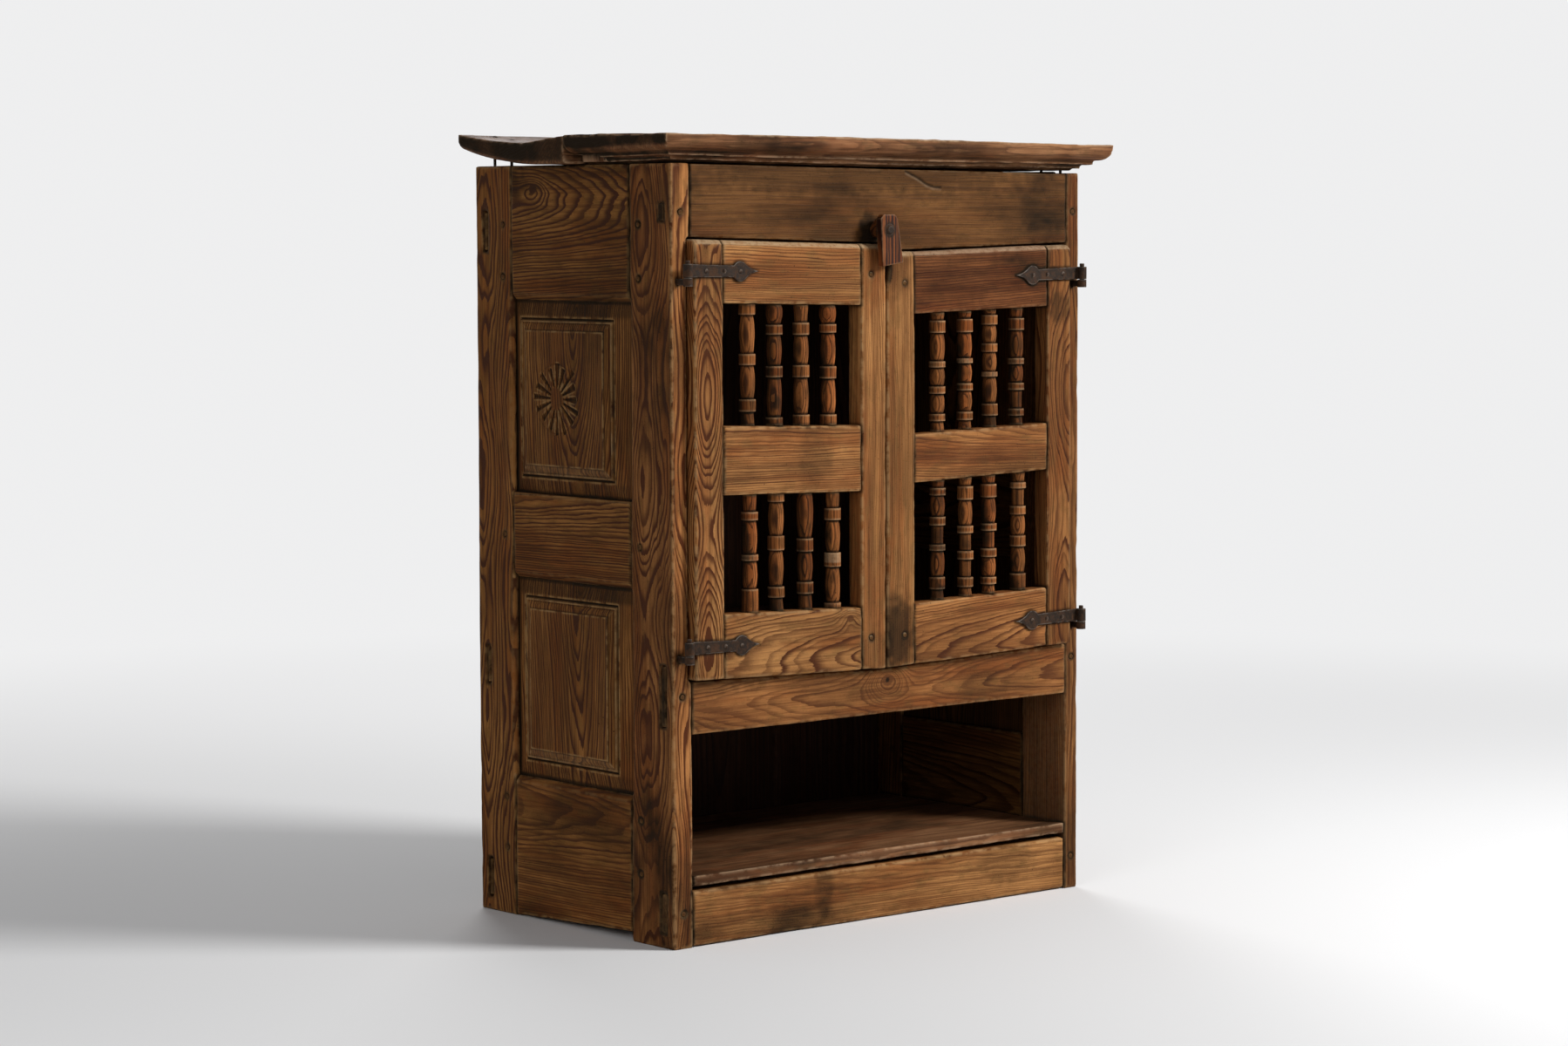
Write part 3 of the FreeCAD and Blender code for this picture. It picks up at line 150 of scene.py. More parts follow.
def calc(tree, operation, *inputs, clamp=False):
    return add(tree, "Math", *inputs, operation=operation, use_clamp=clamp)


def times(tree, a, b, clamp=False):
    return calc(tree, "MULTIPLY", a, b, clamp=clamp)


def plus(tree, a, b, clamp=False):
    return calc(tree, "ADD", a, b, clamp=clamp)


def vector(tree, operation, *inputs, out=0):
    return add(tree, "VectorMath", *inputs, operation=operation, out=out)


def mix(tree, share, a, b, blend="MIX"):
    return add(tree, "MixRGB", share, a, b, blend_type=blend)


def span(tree, value, low, high, to_low=0.0, to_high=1.0):
    """A value's place between low and high, eased into a number from to_low to to_high."""
    return add(tree, "MapRange", value, low, high, to_low, to_high,
               interpolation_type="SMOOTHSTEP")


def noise(tree, point, scale, detail, roughness=0.5, out=0):
    """Noise at a point: a number from 0 to 1, or three of them as a colour where out is 1."""
    return add(tree, "TexNoise", point, None, scale, detail, roughness, out=out)


def stretched(tree, point, x, y, z):
    return vector(tree, "MULTIPLY", point, (x, y, z))


def distance(tree, a, b):
    squares = plus(tree, calc(tree, "POWER", a, 2.0), calc(tree, "POWER", b, 2.0))
    return calc(tree, "SQRT", squares)


def wandering(tree, point, along, scale, detail, roughness, amount):
    """Offsets that vary across the grain at a scale, and more slowly along it."""
    offset = noise(tree, stretched(tree, point, 1, 1, along), scale, detail, roughness, out=1)
    offset = vector(tree, "SUBTRACT", offset, (0.5, 0.5, 0.5))
    return vector(tree, "SCALE", offset, None, None, amount)


# Length of the slow wave that a bowed trunk gives its rings
BOW_LENGTH = 0.36
# The place across and along, and the size, of a knot that a board hasn't got
FAR_KNOT = (9, 9, 0.01)
RIPPLE = 2.6 * MM
# the colour of grime and of painted shade
GRIME_AND_SHADE = (0.014, 0.008, 0.0036, 1)
# the grey of weathered wood and of painted light
WORN_AND_LIT_GREY = (0.30, 0.24, 0.17, 1)
BEETLE_HOLE = (0.006, 0.004, 0.003, 1)


def pine_group():
    """Old pine: rings about a pith beside the board, knots, fibres, wear, grime and beetle holes, and painted
    shade and highlights where its marks say.
    """
    tree = bpy.data.node_groups.new("old_pine", "ShaderNodeTree")
    for side, kind, names in (
        ("INPUT", "Vector", ("Point", "Pith", "Knot A", "Knot B")),
        ("INPUT", "Float", ("Edge", "Hollow", "Pale", "Tilt", "Bow", "Ring", "Waver")),
        ("INPUT", "Float", ("Contrast", "Grime", "Holes")),
        ("INPUT", "Color", ("Light", "Dark", "Rubbed_and_lit")),
        ("OUTPUT", "Color", ("Color",)),
        ("OUTPUT", "Float", ("Roughness", "Height")),
    ):
        for name in names:
            socket = tree.interface.new_socket(name, in_out=side, socket_type="NodeSocket" + kind)
            if name.startswith("Knot"):
                socket.default_value = FAR_KNOT
    given = tree.nodes.new("NodeGroupInput").outputs
    point = given["Point"]
    # the rings wander, slowly along the grain
    wander = wandering(tree, point, 0.16, 9, 3, 0.55, times(tree, given["Waver"], 3.0))
    ripple = wandering(tree, point, 0.35, 55, 2, 0.5, RIPPLE)
    moved = vector(tree, "SUBTRACT", point, given["Pith"])
    moved = vector(tree, "ADD", moved, vector(tree, "ADD", wander, ripple))
    parts = add(tree, "SeparateXYZ", moved)
    x, y, z = parts, parts.node.outputs[1], parts.node.outputs[2]
    y = plus(tree, y, times(tree, z, given["Tilt"]))
    wave = calc(tree, "SINE", times(tree, z, 2 * math.pi / BOW_LENGTH))
    y = plus(tree, y, times(tree, wave, given["Bow"]))
    # knots push the rings aside and have rings of their own
    here = add(tree, "SeparateXYZ", point)
    core = None
    for name in ("Knot A", "Knot B"):
        at = add(tree, "SeparateXYZ", given[name])
        size = at.node.outputs[2]
        across = calc(tree, "DIVIDE", calc(tree, "SUBTRACT", here, at), size)
        along = calc(tree, "SUBTRACT", here.node.outputs[2], at.node.outputs[1])
        along = calc(tree, "DIVIDE", along, times(tree, size, 1.3))
        reach = distance(tree, across, along)
        push = calc(tree, "EXPONENT", times(tree, calc(tree, "POWER", reach, 2.0), -0.16))
        y = plus(tree, y, times(tree, push, times(tree, size, 2.6)))
        core = reach if core is None else calc(tree, "MINIMUM", core, reach)
    radius = distance(tree, x, y)
    # ring widths vary from year to year, and each year ends in a sharp dark line
    phase = calc(tree, "DIVIDE", radius, given["Ring"])
    years = add(tree, "CombineXYZ", phase, 0.0, 0.0)
    phase = plus(tree, phase, times(tree, noise(tree, years, 0.37, 1), 2.2))
    ragged = noise(tree, stretched(tree, point, 520, 520, 30), 1, 2)
    phase = plus(tree, phase, times(tree, ragged, 0.26))
    ring = calc(tree, "FRACT", phase)
    year = add(tree, "TexWhiteNoise", None, calc(tree, "FLOOR", phase), noise_dimensions="1D")
    late = times(tree, span(tree, ring, 0.34, 0.90), span(tree, ring, 1.0, 0.95))
    late = times(tree, late, plus(tree, times(tree, year, 0.6), 0.5))
    in_knot = span(tree, core, 1.0, 0.72)
    knot_ring = calc(tree, "FRACT", times(tree, core, 5.5))
    late = mix(tree, in_knot, late, plus(tree, times(tree, knot_ring, 0.5), 0.5))
    late = add(tree, "RGBToBW", late)
    # fibres, streaks and soft bands of colour along the board
    fibre = span(tree, noise(tree, stretched(tree, point, 1000, 1000, 18), 1, 3, 0.65), 0.36, 0.68)
    streak = span(tree, noise(tree, stretched(tree, point, 170, 170, 4.0), 1, 3, 0.62), 0.40, 0.64)
    bands = span(tree, noise(tree, stretched(tree, point, 26, 26, 2.6), 1, 3, 0.55), 0.40, 0.64)
    patches = noise(tree, stretched(tree, point, 8, 8, 3.4), 1, 4, 0.62)
    blotches = span(tree, noise(tree, stretched(tree, point, 60, 60, 22), 1, 4, 0.65), 0.50, 0.64)
    light = given["Light"]
    for share, tint in (
        (times(tree, bands, 0.8), (0.84, 0.62, 0.52, 1)),
        (span(tree, patches, 0.52, 0.36, 0.0, 0.9), (1.30, 1.36, 1.42, 1)),
        (times(tree, blotches, 0.6), (0.66, 0.74, 0.72, 1)),
    ):
        light = mix(tree, share, light, mix(tree, 1.0, given["Light"], tint, blend="MULTIPLY"))
    dim = plus(tree, times(tree, streak, 0.44), times(tree, fibre, 0.30))
    light = mix(tree, dim, light, given["Dark"])
    shade = times(tree, late, given["Contrast"], clamp=True)
    colour = mix(tree, shade, light, given["Dark"])
    # grime in wide patches, and the hollow mark's painted shade and grime
    soiled_and_shaded = times(tree, span(tree, patches, 0.44, 0.70), given["Grime"])
    soiled_and_shaded = plus(tree, soiled_and_shaded, times(tree, given["Hollow"], 0.9), clamp=True)
    specks = span(tree, noise(tree, point, 420, 3, 0.7), 0.60, 0.68)
    soiled_and_shaded = plus(tree, soiled_and_shaded, times(tree, specks, 0.34), clamp=True)
    colour = mix(tree, soiled_and_shaded, colour, GRIME_AND_SHADE)
    # arrises rubbed pale, more in some places than in others; on the panels' fillets and the spindles' collars the
    # edge mark is partly painted highlight
    rub_and_highlight = times(tree, given["Edge"], span(tree, noise(tree, point, 60, 3, 0.6), 0.36, 0.60))
    rub_and_highlight = times(tree, rub_and_highlight, calc(tree, "SUBTRACT", 1.0, times(tree, given["Hollow"], 0.8)))
    colour = mix(tree, times(tree, rub_and_highlight, 0.6), colour, given["Rubbed_and_lit"])
    # pale grey: weathering, and painted light on the panels' fillets and lowest mouldings, on the spindles'
    # collars and on faces turned up
    worn_and_lit = span(tree, noise(tree, point, 130, 4, 0.65), 0.30, 0.62, 0.35, 1.0)
    worn_and_lit = times(tree, given["Pale"], worn_and_lit)
    colour = mix(tree, worn_and_lit, colour, mix(tree, 0.45, given["Rubbed_and_lit"], WORN_AND_LIT_GREY))
    # beetle holes: small dark dots, here and there
    dots = add(tree, "TexVoronoi", stretched(tree, point, 1, 1, 0.8), None, 95.0, feature="F1")
    where = span(tree, noise(tree, point, 13, 2), 0.50, 0.64)
    pick = add(tree, "SeparateColor", dots.node.outputs[1])
    hole = times(tree, span(tree, dots, 0.10, 0.06), span(tree, pick, 0.60, 0.62))
    hole = times(tree, times(tree, hole, where), given["Holes"], clamp=True)
    colour = mix(tree, hole, colour, BEETLE_HOLE)
    rough = calc(tree, "SUBTRACT", 0.66, times(tree, late, 0.14))
    rough = plus(tree, rough, times(tree, soiled_and_shaded, 0.14))
    height = plus(tree, times(tree, late, 0.55), times(tree, fibre, -0.35))
    height = plus(tree, height, times(tree, hole, -1.6))
    made = tree.nodes.new("NodeGroupOutput")
    for socket, value in zip(made.inputs, (colour, rough, height)):
        tree.links.new(value, socket)
    return tree


PINE = pine_group()


def attribute(tree, name, out):
    return add(tree, "Attribute", out=out, attribute_name=name)


def new_material(name):
    material = bpy.data.materials.new(name)
    material.use_nodes = True
    tree = material.node_tree
    return material, tree, tree.nodes["Principled BSDF"]


def surface(tree, shader, colour, rough, height, strength):
    tree.links.new(colour, shader.inputs["Base Color"])
    tree.links.new(rough, shader.inputs["Roughness"])
    relief = add(tree, "Bump", strength, 0.4 * MM, None, height)
    tree.links.new(relief, shader.inputs["Normal"])


# How far along the grain one board's noise lies from the next one's
SEED_STEP = 0.37


def pine(name, wood, seed, tone=1.0, pith=(0.01, 0.05), tilt=0.02, bow=0.0, ring=4.5, waver=12,
         contrast=1.0, grime=0.3, holes=0.7, knots=(), coat=0.0, gloss=0.05):
    """A material for one board; ring and waver are in millimetres, and tone scales its colours."""
    light, dark, rubbed_and_lit = (tuple(tone * c for c in colour) for colour in wood)
    material, tree, shader = new_material(name)
    grown = tree.nodes.new("ShaderNodeGroup")
    grown.node_tree = PINE
    offset = SEED_STEP * seed
    place = vector(tree, "ADD", attribute(tree, "grain", 1), (0.0, 0.0, offset))
    tree.links.new(place, grown.inputs["Point"])
    for mark in ("edge", "hollow", "pale"):
        tree.links.new(attribute(tree, mark, 2), grown.inputs[mark.capitalize()])
    grown.inputs["Pith"].default_value = (pith[0], pith[1], offset)
    settings = {
        "Tilt": tilt, "Bow": bow, "Ring": ring * MM, "Waver": waver * MM, "Contrast": contrast,
        "Grime": grime, "Holes": holes, "Light": (*light, 1), "Dark": (*dark, 1), "Rubbed_and_lit": (*rubbed_and_lit, 1),
    }
    for key, value in settings.items():
        grown.inputs[key].default_value = value
    for socket, (across, along, size) in zip(("Knot A", "Knot B"), knots):
        grown.inputs[socket].default_value = (across, along + offset, size)
    surface(tree, shader, *grown.outputs, 1.0)
    shader.inputs["Specular IOR Level"].default_value = gloss
    shader.inputs["Coat Weight"].default_value = coat
    shader.inputs["Coat Roughness"].default_value = 0.42
    return material


# Forged iron: its bare and rusted skins, and its arrises, rubbed bright and given painted highlights
BLACK_IRON = (0.017, 0.010, 0.006, 1)
RUST = (0.054, 0.025, 0.012, 1)
RUBBED_AND_LIT_IRON = (0.20, 0.17, 0.14, 1)


def iron():
    """Forged iron with a brown skin, its arrises rubbed bright and given painted highlights."""
    material, tree, shader = new_material("forged_iron")
    point = attribute(tree, "grain", 1)
    rust = span(tree, noise(tree, point, 120, 5, 0.65), 0.42, 0.68)
    colour = mix(tree, rust, BLACK_IRON, RUST)
    rub_and_highlight = times(tree, attribute(tree, "edge", 2), span(tree, noise(tree, point, 90, 3), 0.4, 0.6))
    colour = mix(tree, times(tree, rub_and_highlight, 0.6), colour, RUBBED_AND_LIT_IRON)
    pits = plus(tree, noise(tree, point, 260, 4, 0.6), noise(tree, point, 1400, 2))
    surface(tree, shader, colour, span(tree, rust, 0, 1, 0.50, 0.74), pits, 0.8)
    shader.inputs["Metallic"].default_value = 0.1
    shader.inputs["Specular IOR Level"].default_value = 0.1
    return material


# Wear on the frame's solids

def axes_of(size, grain):
    """Indices of the axes across, through and along a board."""
    along = int(np.argmax(size)) if grain is None else "XYZ".index(grain)
    rest = [k for k in range(3) if k != along]
    through = min(rest, key=lambda k: size[k])
    across = next(k for k in rest if k != through)
    return across, through, along


def reshape(made, change):
    """Move an object's points by a function that changes an array of them in place."""
    co = coordinates(made.data)
    change(co)
    made.data.vertices.foreach_set("co", co.ravel())
    made.data.update()


def new_object(name, mesh):
    made = bpy.data.objects.new(name, mesh)
    bpy.context.scene.collection.objects.link(made)
    return made


def loose_parts(node):
    """The separate solids of a node, each as a mesh with its doubled vertices merged."""
    whole = bmesh.new()
    whole.from_mesh(frame["nodes"][node].data)
    bmesh.ops.remove_doubles(whole, verts=whole.verts, dist=0.002 * MM)
    left = set(whole.verts)
    meshes = []
    while left:
        found = set()
        edge = [left.pop()]
        while edge:
            vert = edge.pop()
            if vert not in found:
                found.add(vert)
                edge += [link.other_vert(vert) for link in vert.link_edges]
        left -= found
        own = bmesh.new()
        twin = {v: own.verts.new(v.co) for v in found}
        for face in {f for v in found for f in v.link_faces}:
            own.faces.new([twin[v] for v in face.verts])
        mesh = bpy.data.meshes.new(node)
        own.to_mesh(mesh)
        own.free()
        meshes.append(mesh)
    whole.free()
    return sorted(meshes, key=lambda m: tuple(coordinates(m).mean(0).round(4)))


def remesh(made, voxel):
    """Replace an object's mesh by an even one of a given cell size."""
    modifier = made.modifiers.new("remesh", "REMESH")
    modifier.mode = "VOXEL"
    modifier.voxel_size = voxel
    modifier.use_smooth_shade = True
    graph = bpy.context.evaluated_depsgraph_get()
    mesh = bpy.data.meshes.new_from_object(made.evaluated_get(graph))
    made.modifiers.clear()
    made.data = mesh


TREES = {}


def neighbours(node, reach):
    """The other solids of a node's own body that are near it, as one search tree."""
    if node in TREES:
        return TREES[node]
    low, high = BOXES[node]
    verts, faces = [], []
    for other, thing in frame["nodes"].items():
        if other == node or body_of(other) != body_of(node):
            continue
        other_low, other_high = BOXES[other]
        if any(other_low[k] > high[k] + reach or other_high[k] < low[k] - reach for k in range(3)):
            continue
        start = len(verts)
        verts += [tuple(v.co) for v in thing.data.vertices]
        faces += [[start + i for i in f.vertices] for f in thing.data.polygons]
    TREES[node] = BVHTree.FromPolygons(verts, faces) if faces else None
    return TREES[node]


def shade_near(node, co, reach):
    """How much painted shade each point gets from other solids: 1 at one of them, 0 from reach millimetres away.
    """
    reach = reach * MM
    tree = neighbours(node, reach)
    if tree is None:
        return np.zeros(len(co))
    away = np.full(len(co), reach)
    for i, spot in enumerate(co.tolist()):
        nearest = tree.find_nearest(spot, reach)[3]
        if nearest is not None:
            away[i] = nearest
    return 1 - ease(0.12 * reach, reach, away)


def stains_and_shade(node, co):
    """Dark marks on some boards, given as ellipses on the front or on the side: stains, and painted shadow and
    shade.
    """
    total = np.zeros(len(co))
    for axis, u, z, wide, high, strength in STAINS_AND_SHADE.get(node, ()):
        du = (co[:, "XY".index(axis)] - u * MM) / (wide * MM)
        dz = (co[:, 2] - z * MM) / (high * MM)
        ragged = 0.25 * field(co, 9 * MM, u)
        total += strength * ease(1.25, 0.55, np.sqrt(du * du + dz * dz) + ragged)
    return total


def crack(node, co):
    """1 along a board's crack, given by points of its front face, and 0 from a few millimetres away."""
    near = np.zeros(len(co))
    spots = CRACKS.get(node, ())
    for (x0, z0), (x1, z1) in zip(spots, spots[1:]):
        along = np.array([x1 - x0, z1 - z0])
        here = co[:, [0, 2]] / MM - [x0, z0]
        share = np.clip(here @ along / (along @ along), 0, 1)
        away = np.linalg.norm(here - share[:, None] * along, axis=1)
        near = np.maximum(near, np.exp(-(away / CRACK_WIDTH) ** 2))
    return near


class Wear(NamedTuple):
    """How one kind of piece is worn. Its lengths are in millimetres."""

    voxel: float = 2.4
    passes: int = 2
    bend: float = 0.8
    bend_size: float = 260
    dent: float = 0.35
    dent_size: float = 38
    nick: float = 1.6
    # reach: how far the painted shade beside other solids spreads
    reach: float = 5.0


def facing(amount):
    """How squarely points face a way, from the share of their normals along it."""
    return ease(0.5, 0.9, amount)


def worn(made, node, wear, seed, grain, end_grain):
    """Remesh, round, bend, dent and nick a piece, and keep where its arrises are, where it is pale, and where
    painted shade and grime darken it.
    """
    remesh(made, wear.voxel * MM)
    mesh = made.data
    pairs = read(mesh.edges, "vertices", 2, int)
    normal = read(mesh.vertex_normals, "vector", 3)
    co = coordinates(mesh)
    soft = relaxed(co, pairs, wear.passes)
    broad = relaxed(soft, pairs, 6)
    bulge = ((soft - broad) * normal).sum(1) / (wear.voxel * MM)
    edge = ease(0.05, 0.32, bulge)
    # the hollow mark begins as painted shade and grime in the hollows
    hollow = ease(0.05, 0.32, -bulge)
    bend = field(soft, wear.bend_size * MM, seed) * wear.bend * MM
    dent = field(soft, wear.dent_size * MM, seed + 1) * wear.dent * MM
    rough = field(soft, 13 * MM, seed + 2)
    bites = np.clip(field(soft, 42 * MM, seed + 3) + 0.35 * rough - 0.15, 0, 1)
    push = bend + dent - edge * bites * wear.nick * MM
    cracked = crack(node, soft) * facing(-normal[:, 1])
    soft = soft + normal * (push - CRACK_DEPTH * cracked)[:, None]
    mesh.vertices.foreach_set("co", np.clip(soft, *cad_box).ravel())
    middle = (co.min(0) + co.max(0)) / 2
    order = axes_of(co.max(0) - co.min(0), grain)
    store(mesh, "grain", (co - middle)[:, order])
    # the hollow mark also takes grime on the end grain, painted shade beside other solids, in cracks and on some
    # outer sides, and the listed dark patches
    hollow = relaxed_number(hollow, pairs, 2)
    hollow = np.maximum(hollow, end_grain * ease(0.7, 0.95, np.abs(normal[:, order[2]])))
    hollow = np.maximum(hollow, shade_near(node, co, wear.reach) * (0.8 + 0.3 * rough))
    hollow += stains_and_shade(node, co) + cracked + SHADED_SIDES.get(node, 0) * facing(-normal[:, 0])
    store(mesh, "edge", relaxed_number(edge, pairs, 1))
    store(mesh, "hollow", np.clip(hollow, 0, 1))
    store(mesh, "pale", pale_marks(node, co, normal))
    mesh.update()
    return made


def pale_marks(node, co, normal):
    """Where wood is pale and grey: doors' tops and the top's front arris where they face up, partly dried grey and
    partly painted light from above; a post's side; a line under a crack.
    """
    # faces turned up are paler: partly dried grey, partly painted light from above
    up = ease(0.25, 0.6, normal[:, 2])
    if "_door_" in node and not node.endswith(("mid_rail", "low_rail")):
        return up * ease(25 * MM, 12 * MM, co[:, 2].max() - co[:, 2]) * 0.9
    if node == "top_board_front":
        rim = ease(9 * MM, 3 * MM, co[:, 1] - co[:, 1].min())
        return up * rim * 0.7
    if node == "post_front_right":
        return 0.13 * facing(-normal[:, 0])
    return crack(node, co + [0, 0, LIP_BELOW]) * 0.35


def body_of(node):
    bodies = frame["record"]["behaviour"]["bodies"]
    return next(body for body, members in bodies.items() if node in members)


def slot_of(node):
    return next(p["material_slot"] for p in frame["record"]["subparts"] if p["node"] == node)


def finish_piece(made, node, material):
    """Give a new piece its material, and let it stand for its node."""
    made.data.materials.clear()
    made.data.materials.append(material)
    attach(made, body_of(node))
    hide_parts(node)
    return made


# How soiled the end grain of most boards is
END_GRAIN = 0.75


def pieces_from(node, wear, materials, seed, grain=None, end_grain=END_GRAIN):
    """A worn piece for each solid of a node."""
    made = []
    parts = loose_parts(node)
    for i, mesh in enumerate(parts):
        name = f"worn_{node}" if len(parts) == 1 else f"worn_{node}_{i}"
        part = worn(new_object(name, mesh), node, wear, seed + i, grain, end_grain)
        made.append(finish_piece(part, node, materials[i % len(materials)]))
    return made


def grid(points, closed=False):
    """Points laid out in rows, and the faces between them; each row is a ring where closed says so."""
    rows, columns = points.shape[:2]
    index = np.arange(rows * columns).reshape(rows, columns)
    if closed:
        index = np.concatenate([index, index[:, :1]], axis=1)
    quads = np.stack([index[:-1, :-1], index[:-1, 1:], index[1:, 1:], index[1:, :-1]], axis=-1)
    return points.reshape(-1, 3), quads.reshape(-1, 4).tolist()


def new_piece(name, node, verts, faces, material, marks):
    """A piece of given points and faces, smooth but for its caps, that stands for a node."""
    mesh = bpy.data.meshes.new(name)
    mesh.from_pydata(verts.tolist(), [], faces)
    for mark, values in marks.items():
        store(mesh, mark, values)
    mesh.polygons.foreach_set("use_smooth", [len(corners) == 4 for corners in faces])
    mesh.update()
    finish_piece(new_object(name, mesh), node, material)


# Woods: the light and dark tones, and the tone of rubbed arrises and painted highlights
HONEY = ((0.360, 0.163, 0.052), (0.070, 0.020, 0.006), (0.48, 0.29, 0.13))
AMBER = ((0.285, 0.118, 0.036), (0.058, 0.016, 0.005), (0.40, 0.23, 0.10))
BROWN = ((0.230, 0.098, 0.026), (0.044, 0.013, 0.004), (0.34, 0.20, 0.08))
OLIVE = ((0.150, 0.063, 0.018), (0.044, 0.016, 0.005), (0.26, 0.16, 0.08))
RED = ((0.190, 0.066, 0.020), (0.044, 0.011, 0.004), (0.33, 0.17, 0.08))
DRY = ((0.250, 0.115, 0.050), (0.046, 0.016, 0.007), (0.52, 0.34, 0.20))
# dark wood for the pieces inside, painted with the shade that falls there
SHADED_INSIDE = ((0.044, 0.018, 0.009), (0.014, 0.006, 0.004), (0.07, 0.035, 0.02))
TURNED = ((0.270, 0.095, 0.026), (0.032, 0.011, 0.004), (0.27, 0.16, 0.075))

BOARD = Wear()
SPLIT = Wear(voxel=1.6, passes=3, nick=1.2)
MOULDED = Wear(voxel=1.7, passes=1, bend=1.4, bend_size=150, dent=0.6, dent_size=17, nick=6.5)
CHIPPED = Wear(dent=0.5, dent_size=24, nick=4.0)
HIDDEN = Wear(voxel=6.0, passes=1, nick=1.0)
SMALL = Wear(voxel=0.9, passes=2, bend=0.2, bend_size=60, dent=0.15, dent_size=12, nick=0.4)
PEG = Wear(voxel=1.2, passes=1, bend=0.0, dent=0.15, dent_size=12, nick=0.3, reach=1.6)
FORGED = Wear(voxel=0.55, passes=1, bend=0.35, bend_size=40, dent=0.22, dent_size=8, nick=0.25, reach=1.5)
NAIL = Wear(voxel=0.7, passes=1, bend=0.0, dent=0.25, dent_size=5, nick=0.2, reach=1.5)

# The height of the middle front rail's knot, in millimetres: a little below the board's middle
KNOT_Z = (BOXES["front_rail_mid"][0].z + BOXES["front_rail_mid"][1].z) / 2 / MM - 3

# Dark marks of each node, stains and painted shade: (axis across the picture, place, height, half width,
# half height, strength), in millimetres but for the strength
STAINS_AND_SHADE = {
    # on the top rail, the second ellipse is a painted shadow under the top's overhang
    "front_rail_top": (
        ("X", -26, 1022, 29, 29, 0.85), ("X", -30, 1112, 420, 40, 0.5), ("X", 330, 1060, 60, 60, 0.4),
    ),
    # on the right meeting stile, the third ellipse is painted shade in the gap under the turn button
    "right_door_meeting_stile": (
        ("X", 12, 425, 40, 62, 0.8), ("X", 8, 960, 30, 40, 0.35), ("X", -4, 968, 8, 26, 1.0),
    ),
    "left_door_meeting_stile": (("X", -30, 400, 40, 40, 0.35),),
    "left_door_mid_rail": (("X", -145, 690, 36, 42, 0.4),),
    "right_door_top_rail": (("X", 150, 955, 150, 40, 0.3),),
    "right_door_hinge_stile": (("X", 350, 905, 24, 26, 0.55),),
    "front_rail_mid": (
        ("X", 6, KNOT_Z, 4.5, 4.5, 1.0), ("X", 90, 395, 300, 14, 0.3), ("X", -330, 385, 110, 26, 0.4),
    ),
    "front_rail_low": (
        ("X", -250, 20, 160, 24, 0.3), ("X", -118, 62, 20, 50, 0.4), ("X", -270, 92, 100, 20, 0.5),
        ("X", 250, 60, 60, 40, 0.3),
    ),
    "post_front_left": (("Y", 45, 1085, 14, 16, 0.8), ("Y", 30, 120, 60, 200, 0.3)),
    "post_front_right": (("X", 395, 60, 20, 70, 0.35),),
    "side_rail_top_left": (("Y", 240, 1090, 150, 26, 0.6),),
}

# Cracks in front faces, through points (X, Z) in millimetres, and how far below them a pale line lies
CRACKS = {"front_rail_top": ((43, 1110), (66, 1101), (85, 1091), (98, 1087), (113, 1086))}
CRACK_WIDTH = 1.5
CRACK_DEPTH = 1.8 * MM
LIP_BELOW = 3.2 * MM

# How much painted shade darkens the outer side faces of some boards
SHADED_SIDES = {"post_front_left": 0.36}


def board(wood, wear=BOARD, **grain):
    return wear, dict(wood=wood, **grain)


